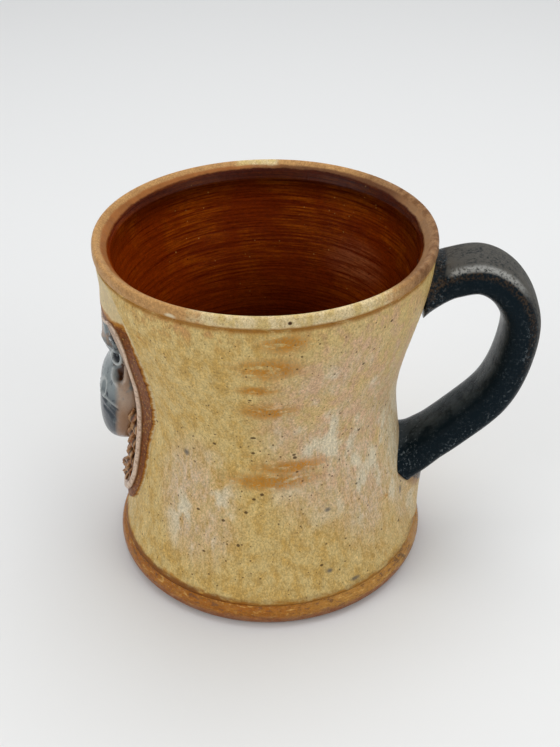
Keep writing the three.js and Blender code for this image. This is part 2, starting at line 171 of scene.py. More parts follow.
# Measures inside the node trees, in metres
# The circle that a profile is carried round. The profile is moved in by as much as its radius.
AXIS_CIRCLE = 0.001
WELD_DISTANCE = 1e-6
LEVEL_FADE = 0.0015
CUP_THROWING = {"Turn Steps": TURN_STEPS, "Ring Depth": 0.00013, "Ring Spacing": 0.0022, "Wobble": 0.00016}
FOOT_THROWING = {"Turn Steps": TURN_STEPS, "Ring Depth": 0.00015, "Ring Spacing": 0.0025, "Wobble": 0.00015}
FOOT_THROWING["Level Below"] = 0.0003
KNEAD_DEPTH = 0.0016
# How fast the noises of the node trees change, per metre
WOBBLE_SCALE = 26.0
KNEAD_SCALE = 420.0
RING_SLANT = 9.0


def blend(a, b, share):
    return a + (b - a) * share


def unit(vectors):
    """The same directions with a length of 1."""
    return vectors / np.maximum(np.linalg.norm(vectors, axis=-1, keepdims=True), 1e-9)


def round_turn(count):
    """Even steps round a full turn."""
    return np.linspace(0, 2 * math.pi, count, endpoint=False)


def fade(value, low, high):
    """0 on low's side and 1 on high's side, smooth between them."""
    share = np.clip((value - low) / (high - low), 0.0, 1.0)
    return share * share * (3 - 2 * share)


def outer_radius(z):
    """The wall's outer radius: a long flare below the waist and an S-curve above it."""
    z = np.asarray(z, float)
    drop = (WAIST_HEIGHT - np.clip(z, SLAB_TOP, WAIST_HEIGHT)) / (WAIST_HEIGHT - SLAB_TOP)
    below = blend(WAIST_RADIUS, WALL_FOOT_RADIUS, drop**FOOT_FLARE_POWER)
    above = blend(WAIST_RADIUS, WALL_TOP_RADIUS, fade(z, WAIST_HEIGHT, BAND_BOTTOM))
    return np.where(z <= WAIST_HEIGHT, below, above)


def on_wall(s, z, proud):
    """A point from its way round the wall, its height and how proud of the wall it stands."""
    radius = outer_radius(z)
    angle = math.pi + s / radius
    reach = radius + proud
    return np.stack([reach * np.cos(angle), reach * np.sin(angle), z + 0 * reach], axis=-1)


def spline(points, count, closed=False):
    """Evenly spaced points on a smooth line through the given ones."""
    points = np.asarray(points, float)
    if closed:
        guide = np.vstack([points[-1], points, points[0], points[1]])
    else:
        guide = np.vstack([2 * points[0] - points[1], points, 2 * points[-1] - points[-2]])
    dense = []
    # each step goes from the second to the third of four neighbours
    for p0, p1, p2, p3 in zip(guide, guide[1:], guide[2:], guide[3:]):
        t1 = max(np.linalg.norm(p1 - p0), 1e-6) ** 0.5
        t2 = t1 + max(np.linalg.norm(p2 - p1), 1e-6) ** 0.5
        t3 = t2 + max(np.linalg.norm(p3 - p2), 1e-6) ** 0.5
        t = np.linspace(t1, t2, 40, endpoint=False)[:, None]
        a1 = p0 + (p1 - p0) * t / t1
        a2 = p1 + (p2 - p1) * (t - t1) / (t2 - t1)
        a3 = p2 + (p3 - p2) * (t - t2) / (t3 - t2)
        b1 = a1 + (a2 - a1) * t / t2
        b2 = a2 + (a3 - a2) * (t - t1) / (t3 - t1)
        dense.append(b1 + (b2 - b1) * (t - t1) / (t2 - t1))
    dense.append(guide[-2][None, :])
    dense = np.vstack(dense)
    run = np.concatenate([[0.0], np.cumsum(np.linalg.norm(np.diff(dense, axis=0), axis=1))])
    stops = np.linspace(0, run[-1], count + 1)[:-1] if closed else np.linspace(0, run[-1], count)
    return np.column_stack([np.interp(stops, run, dense[:, k]) for k in range(dense.shape[1])])


# Meshes


def link_object(name, data):
    thing = bpy.data.objects.new(name, data)
    bpy.context.collection.objects.link(thing)
    return thing


def store_values(mesh, values):
    """Stores named numbers on a mesh, one for each point, for the materials to read."""
    for name, numbers in values.items():
        store = mesh.attributes.new(name, "FLOAT", "POINT")
        store.data.foreach_set("value", np.asarray(numbers, np.float32).ravel())


def finish_mesh(mesh):
    """Turns the faces outwards and smooths them."""
    shell = bmesh.new()
    shell.from_mesh(mesh)
    bmesh.ops.recalc_face_normals(shell, faces=shell.faces)
    if shell.calc_volume(signed=True) < 0:
        bmesh.ops.reverse_faces(shell, faces=shell.faces)
    shell.to_mesh(mesh)
    shell.free()
    mesh.shade_smooth()


def skin(name, rings, looped=False, hubs=None, values=None):
    """An object from rings of points, each skinned to the next. Both ends are closed if it isn't looped."""
    rings = np.asarray(rings, float)
    count, sides = rings.shape[:2]
    points = rings.reshape(-1, 3)
    values = {key: np.asarray(numbers, float).ravel() for key, numbers in (values or {}).items()}
    faces = []
    here = np.arange(sides)
    there = (here + 1) % sides
    for ring in range(count if looped else count - 1):
        first = ring * sides
        second = ((ring + 1) % count) * sides
        faces += np.column_stack([first + here, first + there, second + there, second + here]).tolist()
    if not looped:
        hubs = [rings[0].mean(axis=0), rings[-1].mean(axis=0)] if hubs is None else hubs
        for hub, first, spokes in zip(hubs, (0, (count - 1) * sides), ((there, here), (here, there))):
            middle = np.full(sides, len(points))
            points = np.vstack([points, hub])
            for key in values:
                values[key] = np.append(values[key], values[key][first : first + sides].mean())
            faces += np.column_stack([middle, first + spokes[0], first + spokes[1]]).tolist()
    mesh = bpy.data.meshes.new(name)
    mesh.from_pydata((points / MM_PER_METRE).tolist(), [], faces)
    finish_mesh(mesh)
    store_values(mesh, values)
    return link_object(name, mesh)


def dress(piece, material, slot, *nodes):
    """Gives a finished piece its material and its place in the frame."""
    piece.data.materials.clear()
    piece.data.materials.append(material)
    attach(piece, "root")
    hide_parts(*nodes)


# Node trees, for shapes and for finishes


class Field:
    """What one output of a node gives, with the sums that can be done on it."""

    def __init__(self, tree, socket):
        self.tree = tree
        self.socket = socket

    def __add__(self, other):
        return self.tree.sum("ADD", self, other)

    def __sub__(self, other):
        return self.tree.sum("SUBTRACT", self, other)

    def __mul__(self, other):
        return self.tree.sum("MULTIPLY", self, other)

    def __or__(self, other):
        """The larger of the two at each place."""
        return self.tree.sum("MAXIMUM", self, other)

    def between(self, low, high):
        """0 on low's side and 1 on high's side, smooth between them."""
        from_low = float(high < low)
        joins = {"Value": self, "From Min": min(low, high), "From Max": max(low, high)}
        joins.update({"To Min": from_low, "To Max": 1.0 - from_low})
        return self.tree.add("ShaderNodeMapRange", joins, interpolation_type="SMOOTHSTEP")

    def number(self, a, b):
        """A number that goes from a to b as the field goes from 0 to 1."""
        return self.tree.add("ShaderNodeMapRange", {"Value": self, "To Min": a, "To Max": b})


class Coat(Field):
    """A colour that others are laid over, one after another."""

    def lay(self, colour, share):
        """Puts a colour on where the share is 1."""
        self.socket = self.tree.mix(share, self, colour).socket

    def tone(self, field, low, high):
        """Makes it darker or lighter: by low where the field is 0, and by high where it is 1."""
        self.socket = self.tree.vector("SCALE", {0: self, "Scale": field.number(low, high)}).socket


class Tree:
    """A node tree and short ways to add to it."""

    def __init__(self, tree):
        self.tree = tree

    def node(self, kind, joins=None, **settings):
        node = self.tree.nodes.new(kind)
        for key, value in settings.items():
            setattr(node, key, value)
        for key, value in (joins or {}).items():
            value = value.socket if isinstance(value, Field) else value
            if isinstance(value, bpy.types.NodeSocket):
                self.tree.links.new(value, node.inputs[key])
            else:
                node.inputs[key].default_value = value
        return node

    def add(self, kind, joins=None, output=0, **settings):
        return Field(self, self.node(kind, joins, **settings).outputs[output])

    def sum(self, operation, *terms):
        return self.add("ShaderNodeMath", dict(enumerate(terms)), operation=operation)

    def vector(self, operation, joins, output=0):
        return self.add("ShaderNodeVectorMath", joins, output, operation=operation)

    def parts(self, vector):
        """The x, y and z of a vector."""
        return [Field(self, part) for part in self.node("ShaderNodeSeparateXYZ", {0: vector}).outputs]


class Rule(Tree):
    """A tree of Geometry Nodes that turns lines into meshes. Counts and measures name its inputs."""

    def __init__(self, name, counts, measures):
        super().__init__(bpy.data.node_groups.new(name, "GeometryNodeTree"))
        kinds = {"Geometry": "Geometry", "Material": "Material"}
        kinds.update(dict.fromkeys(counts, "Int"))
        kinds.update(dict.fromkeys(measures, "Float"))
        face = self.tree.interface
        face.new_socket("Geometry", in_out="OUTPUT", socket_type="NodeSocketGeometry")
        self.keys = {}
        for label, kind in kinds.items():
            socket = face.new_socket(label, in_out="INPUT", socket_type="NodeSocket" + kind)
            self.keys[label] = socket.identifier
        self.given = self.tree.nodes.new("NodeGroupInput")
        self.result = self.tree.nodes.new("NodeGroupOutput")

    def take(self, label):
        return Field(self, self.given.outputs[label])

    def end(self, geometry):
        """Smooths what was made, makes plain mesh of it and gives it its material."""
        smooth = self.add("GeometryNodeSetShadeSmooth", {"Geometry": geometry})
        loose = self.add("GeometryNodeRealizeInstances", {"Geometry": smooth})
        joins = {"Geometry": loose, "Material": self.take("Material")}
        self.tree.links.new(self.add("GeometryNodeSetMaterial", joins).socket, self.result.inputs[0])

    def apply(self, piece, **inputs):
        """Runs the tree on a piece and leaves the result as its plain mesh."""
        step = piece.modifiers.new(self.tree.name, "NODES")
        step.node_group = self.tree
        for label, value in inputs.items():
            step[self.keys[label]] = value
        evaluated = piece.evaluated_get(bpy.context.evaluated_depsgraph_get())
        made = bpy.data.meshes.new_from_object(evaluated)
        piece.modifiers.clear()
        piece.data = made
        made.name = piece.name
        finish_mesh(made)


def line_object(name, lines, closed=False, values=None):
    """An object of bare lines, in millimetres, for a rule to work on."""
    edges = []
    first = 0
    for line in lines:
        count = len(line)
        edges += [(first + k, first + k + 1) for k in range(count - 1)]
        if closed:
            edges.append((first + count - 1, first))
        first += count
    mesh = bpy.data.meshes.new(name)
    mesh.from_pydata((np.vstack(lines) / MM_PER_METRE).tolist(), edges, [])
    store_values(mesh, values or {})
    return link_object(name, mesh)


def throwing_rule():
    """Turns a profile about the mug's axis and leaves a thrower's shallow rings and wobble in it."""
    measures = ["Ring Depth", "Ring Spacing", "Wobble", "Level Below"]
    rule = Rule("Thrown on the wheel", ["Turn Steps"], measures)
    profile = rule.add("GeometryNodeMeshToCurve", {"Mesh": rule.take("Geometry")})
    circle = {"Resolution": rule.take("Turn Steps"), "Radius": AXIS_CIRCLE}
    axis = rule.add("GeometryNodeCurvePrimitiveCircle", circle)
    turned = rule.add("GeometryNodeCurveToMesh", {"Curve": axis, "Profile Curve": profile})
    whole = rule.add("GeometryNodeMergeByDistance", {"Geometry": turned, "Distance": WELD_DISTANCE})
    shell = rule.add("GeometryNodeFlipFaces", {"Mesh": whole})
    place = rule.add("GeometryNodeInputPosition")
    x, y, z = rule.parts(place)
    radius = rule.sum("SQRT", x * x + y * y)
    spacing = rule.take("Ring Spacing")
    rings_out, rings_up = [rule.sum("DIVIDE", way, spacing) for way in (radius, z)]
    ring_place = rule.add("ShaderNodeCombineXYZ", {0: rings_out, 1: rings_up, 2: x * RING_SLANT})
    rings = rule.add("ShaderNodeTexNoise", {"Vector": ring_place, "Scale": 1.0, "Detail": 2.0})
    wobble = rule.add("ShaderNodeTexNoise", {"Vector": place, "Scale": WOBBLE_SCALE, "Detail": 1.0})
    depth = rings * rule.take("Ring Depth") + wobble * rule.take("Wobble")
    level = rule.take("Level Below")
    foot = {"Value": z, "From Min": level, "From Max": level + LEVEL_FADE}
    kept_level = rule.add("ShaderNodeMapRange", foot, interpolation_type="SMOOTHSTEP")
    normal = rule.add("GeometryNodeInputNormal")
    inward = rule.vector("SCALE", {0: normal, "Scale": depth * kept_level * -1.0})
    rule.end(rule.add("GeometryNodeSetPosition", {"Geometry": shell, "Offset": inward}))
    return rule


def turned_piece(name, profile, rule, closed, inner=None, **sizes):
    """A turned piece from [radius, height] points."""
    flat = [profile[:, 0] - MM_PER_METRE * AXIS_CIRCLE, -profile[:, 1], 0 * profile[:, 0]]
    values = {} if inner is None else {"inner": inner}
    piece = line_object(name, [np.column_stack(flat)], closed, values)
    rule.apply(piece, **sizes)
    return piece


class Finish(Tree):
    """A glaze or clay made of nodes. Positions are in millimetres inside it."""

    def __init__(self, name):
        self.material = bpy.data.materials.new(name)
        self.material.use_nodes = True
        super().__init__(self.material.node_tree)
        place = self.add("ShaderNodeTexCoord", output="Object")
        self.place = self.vector("SCALE", {0: place, "Scale": MM_PER_METRE})
        self.x, self.y, self.z = self.parts(self.place)

    def value(self, name):
        """What a mesh stores at each point."""
        return self.add("ShaderNodeAttribute", output="Fac", attribute_name=name)

    def cells(self, size, stretch, shift):
        """The position counted in cells of a size, drawn out along x, y and z and shifted."""
        counted = self.vector("MULTIPLY", {0: self.place, 1: tuple(1.0 / (size * part) for part in stretch)})
        return self.vector("ADD", {0: counted, 1: shift})

    def cloud(self, size, stretch=(1, 1, 1), detail=3.0, rough=0.55, shift=0.0):
        """A noise field with features of about a size."""
        joins = {"Vector": self.cells(size, stretch, (shift, 1.7 * shift, -shift)), "Scale": 1.0}
        return self.add("ShaderNodeTexNoise", {**joins, "Detail": detail, "Roughness": rough})

    def specks(self, size, share, radius, shift=0.0, stretch=(1, 1, 1)):
        """Scattered spots: a share of the cells of a size hold one."""
        joins = {"Vector": self.cells(size, stretch, (shift, shift, shift)), "Scale": 1.0}
        node = self.node("ShaderNodeTexVoronoi", joins)
        spot = Field(self, node.outputs["Distance"]).between(radius, radius * 0.55)
        chance = self.add("ShaderNodeSeparateColor", {0: node.outputs["Color"]})
        return spot * self.sum("LESS_THAN", chance, share)

    def patch(self, azimuth, height, wide, tall, edge=0.5, radius=None):
        """A soft spot on the wall at an azimuth in degrees and a height."""
        reach = float(outer_radius(height)) if radius is None else radius
        turn = math.radians(azimuth)
        centre = (reach * math.cos(turn), reach * math.sin(turn), height)
        offset = self.vector("SUBTRACT", {0: self.place, 1: centre})
        share = self.vector("MULTIPLY", {0: offset, 1: (1 / wide, 1 / wide, 1 / tall)})
        return self.vector("LENGTH", {0: share}, "Value").between(1.0, edge)

    def patches(self, edge, *places):
        """Patches with the same edge, together."""
        together = self.patch(*places[0], edge)
        for place in places[1:]:
            together = together | self.patch(*place, edge)
        return together

    def mix(self, share, a, b):
        """Colour b where the share is 1, and a where it is 0."""
        a, b = [(*colour, 1.0) if isinstance(colour, tuple) else colour for colour in (a, b)]
        node = self.node("ShaderNodeMix", {0: share, 6: a, 7: b}, data_type="RGBA")
        return Coat(self, node.outputs[2])

    def cross(self, share, a, b):
        """Number field b where the share is 1, and a where it is 0."""
        return self.add("ShaderNodeMix", {0: share, 2: a, 3: b})

    def relief(self, height, depth, after=None):
        """A bump of a depth in millimetres, on top of an earlier one."""
        joins = {"Distance": depth / MM_PER_METRE, "Height": height}
        return self.add("ShaderNodeBump", joins if after is None else {**joins, "Normal": after})

    def end(self, colour, roughness, relief, shine=0.5):
        """Joins the finish to its shader. Shine is the specular level, alike all over."""
        shader = self.tree.nodes["Principled BSDF"]
        for name, field in (("Base Color", colour), ("Roughness", roughness), ("Normal", relief)):
            self.tree.links.new(field.socket, shader.inputs[name])
        shader.inputs["Specular IOR Level"].default_value = shine
        return self.material


# Colours, as linear red, green and blue
CREAM = (0.565, 0.418, 0.172)
STRAW = (0.49, 0.312, 0.090)
LAVENDER = (0.52, 0.41, 0.285)
MILK = (0.62, 0.54, 0.38)
AMBER = (0.40, 0.165, 0.018)
LIP_CREAM = (0.66, 0.53, 0.30)
BAND_AMBER = (0.35, 0.150, 0.020)
PINK_TAN = (0.47, 0.26, 0.098)
TOAST = (0.26, 0.12, 0.038)
RIGHT_TAN = (0.27, 0.145, 0.066)
RIM_BROWN = (0.30, 0.105, 0.026)
RIM_DARK = (0.11, 0.042, 0.018)
PEACH = (0.58, 0.38, 0.24)
CHAR_BROWN = (0.13, 0.055, 0.022)
PALE_CHIP = (0.66, 0.55, 0.36)
SPECK_BROWN = (0.06, 0.027, 0.010)
SLATE_AND_SHADE_SPOT = (0.085, 0.085, 0.085)
INSIDE_BROWN = (0.155, 0.020, 0.0003)
INSIDE_DEEP = (0.070, 0.006, 0.0002)
INSIDE_RINGS_AND_HIGHLIGHT = (0.32, 0.078, 0.002)
INSIDE_SHEEN = (0.26, 0.085, 0.035)
INSIDE_GLINT = (0.45, 0.22, 0.06)
FOOT_AMBER = (0.35, 0.112, 0.002)
FOOT_GOLD = (0.44, 0.205, 0.032)
FOOT_GLINT = (0.66, 0.38, 0.10)
FOOT_CLAY = (0.26, 0.085, 0.024)
BARE_CLAY = (0.30, 0.14, 0.06)
BLUE_BLACK = (0.003, 0.0085, 0.013)
HANDLE_GREY = (0.080, 0.076, 0.067)
WORN_BROWN = (0.085, 0.048, 0.021)
PALE_FLECK = (0.13, 0.155, 0.17)
HIGHLIGHT_GREY = (0.33, 0.33, 0.31)
IRON_BROWN = (0.235, 0.074, 0.015)
IRON_DARK = (0.095, 0.026, 0.007)
OCHRE = (0.42, 0.24, 0.06)
BORDER_PALE = (0.60, 0.44, 0.32)
BORDER_BROWN = (0.25, 0.125, 0.055)
HEAD_GREY = (0.20, 0.23, 0.235)
HEAD_PALE = (0.38, 0.40, 0.39)
HEAD_BLUE = (0.021, 0.030, 0.040)
HEAD_PINK = (0.39, 0.28, 0.20)
PIT_BROWN = (0.065, 0.022, 0.006)
LOCK_BROWN = (0.40, 0.22, 0.09)
LOCK_DARK = (0.045, 0.018, 0.008)
PUPIL = (0.005, 0.007, 0.010)


def cream_glaze(glaze):
    """The cream glaze as it ran: straw mottle, lavender veils, amber drifts, grain and iron specks."""
    grain = glaze.cloud(0.5, (1, 1, 1.4), detail=2, rough=0.7)
    fibres = glaze.cloud(1.1, (1, 1, 4), detail=4, rough=0.65)
    drifts = glaze.cloud(16, (1, 1, 1.3))
    mottle = glaze.cloud(3.2, (1, 1, 1.6), detail=5, rough=0.65, shift=4.1)
    ragged = glaze.cloud(2.4, (2.4, 2.4, 0.8), detail=5, rough=0.7, shift=2.0)
    colour = glaze.mix(mottle.between(0.36, 0.66), CREAM, STRAW)
    pale_spots = [(302, 62, 26, 44), (243, 36, 17, 26), (325, 45, 24, 40), (347, 42, 22, 42)]
    pale = glaze.patches(0.35, *pale_spots)
    colour.lay(LAVENDER, pale * drifts.between(0.36, 0.58) * fibres.between(0.25, 0.7))
    warm = glaze.patch(312, 70, 34, 46, 0.4) * mottle.between(0.44, 0.62)
    colour.lay(PEACH, warm * 0.8)
    colour.lay(PEACH, (pale | warm) * grain.between(0.46, 0.60) * 0.4)
    milky = pale * glaze.cloud(7, (1, 1, 1.7), shift=9).between(0.50, 0.66)
    white_side = glaze.patch(343, 44, 10, 26, 0.2) * fibres.between(0.3, 0.6)
    colour.lay(MILK, milky | white_side)
    amber_spots = [(280, 94.5, 10, 4.0), (275, 86.5, 13, 5.5), (271, 79, 8, 2.4)]
    amber_spots += [(274.5, 71, 11, 4.4), (283, 50.5, 15, 3.4), (275, 46.2, 18, 4.4)]
    amber = glaze.patches(0.2, *amber_spots) * ragged.between(0.38, 0.50) * grain.number(-0.4, 2.0)
    stray = glaze.cloud(9, (1.5, 1.5, 0.8), detail=5, rough=0.7, shift=7).between(0.62, 0.78)
    colour.lay(AMBER, amber | stray * ragged.between(0.45, 0.6))
    under_rim = glaze.z.between(90.0, 97.5) * mottle.between(0.45, 0.62)
    colour.lay(PINK_TAN, under_rim * glaze.patch(247, 94, 22, 9, 0.3))
    colour.tone(grain, 0.25, 1.75)
    colour.tone(fibres, 0.72, 1.32)
    fine_specks = glaze.specks(2.6, 0.55, 0.15) | glaze.specks(1.5, 0.16, 0.17, shift=7.7)
    colour.lay(SPECK_BROWN, fine_specks * 0.75)
    bold_spots = [(268.2, 61, 1.0, 0.5), (284.9, 53.5, 0.7, 0.6), (271.2, 42.2, 0.7, 0.6)]
    bold_spots += [(255.3, 32.7, 0.65, 0.55), (264.7, 36.3, 0.65, 0.6), (261.6, 25.6, 0.65, 0.65)]
    bold_specks = glaze.specks(4.4, 0.45, 0.125, shift=3.3, stretch=(1.25, 1.25, 0.9))
    colour.lay(SPECK_BROWN, (bold_specks | glaze.patches(0.6, *bold_spots)) * 0.85)
    # the spot at 344.1 degrees and 23.4 high lies where the handle's tail meets the wall and is painted shade
    # there; the others are slate spots in the glaze
    blue_spots = [(298.1, 34.6, 1.5, 1.1), (297, 15.2, 1.6, 1.2), (344.1, 23.4, 1.8, 2.0)]
    blue_spots += [(237.7, 50.9, 1.5, 1.6), (307.6, 9.6, 2.6, 1.1)]
    colour.lay(SLATE_AND_SHADE_SPOT, glaze.patches(0.1, *blue_spots) * 0.8)
    return colour, mottle, ragged, glaze.relief(mottle, 0.18, glaze.relief(fibres, 0.12))


def lip_glaze(glaze, mottle):
    """Toasted tan on the lip, cream where the glaze covers its front, brown towards the handle."""
    grain = glaze.cloud(0.6, detail=4, rough=0.75, shift=12)
    blotch = glaze.cloud(2.6, detail=5, rough=0.75, shift=6.5)
    colour = glaze.mix(blotch.between(0.46, 0.64) * 0.5, PINK_TAN, TOAST)
    char = glaze.mix(mottle.between(0.40, 0.62), RIGHT_TAN, CHAR_BROWN)
    colour.lay(char, glaze.patch(8, 101, 44, 40, 0.6) * 0.9)
    cream = glaze.mix(mottle.between(0.40, 0.62), LIP_CREAM, CREAM)
    covered = glaze.patch(284, 100, 36, 36, 0.35) | glaze.patch(97, 101, 9, 12, 0.4)
    colour.lay(cream, (covered + (blotch - 0.5) * 1.6).between(0.15, 0.85))
    colour.lay(TOAST, grain.between(0.52, 0.66) * 0.5)
    colour.tone(glaze.cloud(0.5, detail=2, rough=0.7), 0.4, 1.6)
    colour.lay(PALE_CHIP, glaze.patch(244.5, 99.6, 2.0, 1.1, 0.4, LIP_RADIUS))
    left_dot = glaze.patch(281.2, 100.7, 0.7, 0.6, 0.5, LIP_RADIUS)
    right_dot = glaze.patch(293.8, 99.0, 0.7, 0.4, 0.5, LIP_RADIUS)
    back_dot = glaze.patch(38, 101.5, 1.0, 1.0, 0.4, 42.3)
    colour.lay(SPECK_BROWN, left_dot | right_dot | back_dot)
    return colour


def inside_glaze(glaze):
    """Dark orange-brown glaze that shows the turning lines, darker towards the bottom. Painted highlights, a
    painted sheen and glints, and painted light and shade on its sides and under the lip are laid on it.
    """
    rings = glaze.cloud(1.2, (16, 16, 0.5), detail=5, rough=0.75, shift=1.3)
    grain = glaze.cloud(0.6, (2.2, 2.2, 0.8), rough=0.75, shift=3.1)
    wide = glaze.cloud(15, (1, 1, 1.2), shift=6)
    lively = glaze.z.between(42, 90)
    brown = glaze.mix(rings.between(0.28, 0.66), INSIDE_DEEP, INSIDE_BROWN)
    # paler orange along the turning rings: partly the glaze's own rings, partly painted highlight
    brown.lay(INSIDE_RINGS_AND_HIGHLIGHT, wide.between(0.42, 0.60) * rings.between(0.42, 0.64) * lively * 0.5)
    # painted sheen: a pinkish reflection on the inner wall towards the back right
    brown.lay(INSIDE_SHEEN, glaze.patch(48, 77, 15, 9, 0.2, 37.5) * rings.between(0.4, 0.6) * 0.55)
    # painted glints: small bright flecks in the upper part of the inside
    flecks = glaze.specks(1.5, 0.2, 0.2, shift=2.2)
    brown.lay(INSIDE_GLINT, flecks * wide.between(0.46, 0.56) * lively * 0.6)
    brown.lay(INSIDE_DEEP, glaze.specks(6.0, 0.3, 0.06, shift=5.5))
    brown.tone(grain, 0.25, 1.75)
    # painted shade: darker just under the lip towards the back, where the rim shades the inside
    brown.tone(glaze.z.between(90, 99) * glaze.y.between(-20, 30), 1.0, 0.3)
    # painted light: lighter towards the left, where the inner wall faces the light
    brown.tone(glaze.x.between(5, -32), 1.0, 1.35)
    # painted shade: darker high up on the inside towards the handle
    brown.tone(glaze.patch(0, 90, 30, 36, 0.3, 38), 1.0, 0.6)
    brown.tone(glaze.z.between(8, 84), 0.6, 1.1)
    return brown, rings


def cup_finish():
    """Cream glaze outside, toasted lip and dark orange-brown glaze inside."""
    glaze = Finish("Cream glaze with a brown inside")
    z = glaze.z
    colour, mottle, ragged, bump = cream_glaze(glaze)
    # the amber pooled above the foot, higher and with a darker joint towards the left
    pool = glaze.mix(glaze.x.between(0, 26), FOOT_AMBER, FOOT_GOLD)
    pool.tone(mottle, 0.4, 1.6)
    to_left = glaze.x.between(8, -22)
    above_pool = z - (ragged.number(-2.6, 1.6) + to_left.number(0, 1.2))
    colour.lay(FOOT_GOLD, above_pool.between(8.9, 7.9) * mottle.between(0.3, 0.55))
    colour.lay(pool, above_pool.between(8.1, 7.3))
    joint = z.between(SLAB_TOP + 1.2, SLAB_TOP + 0.5) * ragged.between(0.32, 0.46)
    colour.lay(CHAR_BROWN, joint * to_left.number(0.3, 0.65))
    colour.lay(lip_glaze(glaze, mottle), z.between(BAND_BOTTOM - 0.2, BAND_BOTTOM + 0.6))
    share = glaze.value("inner") + ragged.number(-0.16, 0.16)
    rim = glaze.mix(glaze.patch(58, 101, 34, 30, 0.5), RIM_BROWN, RIM_DARK)
    rim.lay(RIGHT_TAN, glaze.patch(0, 101, 32, 30, 0.5))
    rim.tone(mottle, 0.5, 1.5)
    rusty = share + glaze.patch(252, 101, 24, 24, 0.3).number(0, 0.14)
    colour.lay(rim, rusty.between(0.38, 0.56) * 0.9)
    amber_line = z.between(97.0, 98.4) * z.between(99.9, 99.0) * ragged.between(0.32, 0.5)
    colour.lay(BAND_AMBER, amber_line * 0.85)
    brown, rings = inside_glaze(glaze)
    # the brown of the inside reaches higher up the lip at the back, as painted shade under the rim
    within = (share + (glaze.y | 0.0) * 0.0058).between(0.84, 0.98)
    colour.lay(brown, within)
    outside_gloss = mottle.between(0.35, 0.65).number(0.32, 0.46)
    gloss = glaze.cross(within, outside_gloss, rings.number(0.22, 0.36))
    return glaze.end(colour, gloss, glaze.relief(rings, 0.08, bump), shine=0.08)


def foot_finish():
    """Amber glaze pooled on the roll's upper part with painted glints, speckled clay below and glaze on the
    floor inside.
    """
    clay = Finish("Foot clay with pooled glaze")
    mottle = clay.cloud(2.4, detail=5, rough=0.7)
    grain = clay.cloud(0.7, (1.5, 1.5, 1), detail=4, rough=0.75, shift=2)
    colour = clay.mix(mottle.between(0.40, 0.66), FOOT_CLAY, BARE_CLAY)
    colour.lay(SPECK_BROWN, clay.specks(1.3, 0.5, 0.24) * 0.6)
    pooled = (clay.z + clay.cloud(7, (1, 1, 0.4), shift=3) * 3.2).between(4.6, 6.8)
    pool = clay.mix(mottle.between(0.42, 0.62) * 0.5, FOOT_AMBER, AMBER)
    pool.lay(FOOT_GOLD, clay.x.between(0, 26))
    pool.lay(CHAR_BROWN, grain.between(0.56, 0.72) * 0.8)
    streaks = clay.cloud(1.0, (3.0, 3.0, 0.8), rough=0.7, shift=9)
    # painted glints: pale golden streaks on the pooled amber, standing in for highlights
    pool.lay(FOOT_GLINT, streaks.between(0.56, 0.66) * 0.6)
    pool.lay(CHAR_BROWN, streaks.between(0.44, 0.36) * 0.7)
    colour.lay(pool, pooled)
    colour.tone(grain, 0.2, 1.8)
    smudge = clay.patch(334, 6.5, 7, 3.2, 0.3, 45)
    colour.lay(SPECK_BROWN, smudge * mottle.between(0.44, 0.62) * 0.8)
    worn = clay.patch(345, 4, 12, 6, 0.4, 45.5)
    colour.lay(PINK_TAN, worn * mottle.between(0.4, 0.6) * 0.6)
    level_place = clay.vector("MULTIPLY", {0: clay.place, 1: (1, 1, 0)})
    radius = clay.vector("LENGTH", {0: level_place}, "Value")
    colour.lay(INSIDE_BROWN, radius.between(42.5, 40.5) * clay.z.between(6.5, 7.4))
    bump = clay.relief(mottle, 0.5, clay.relief(grain, 0.4))
    return clay.end(colour, pooled.number(0.55, 0.16), bump, shine=0.25)


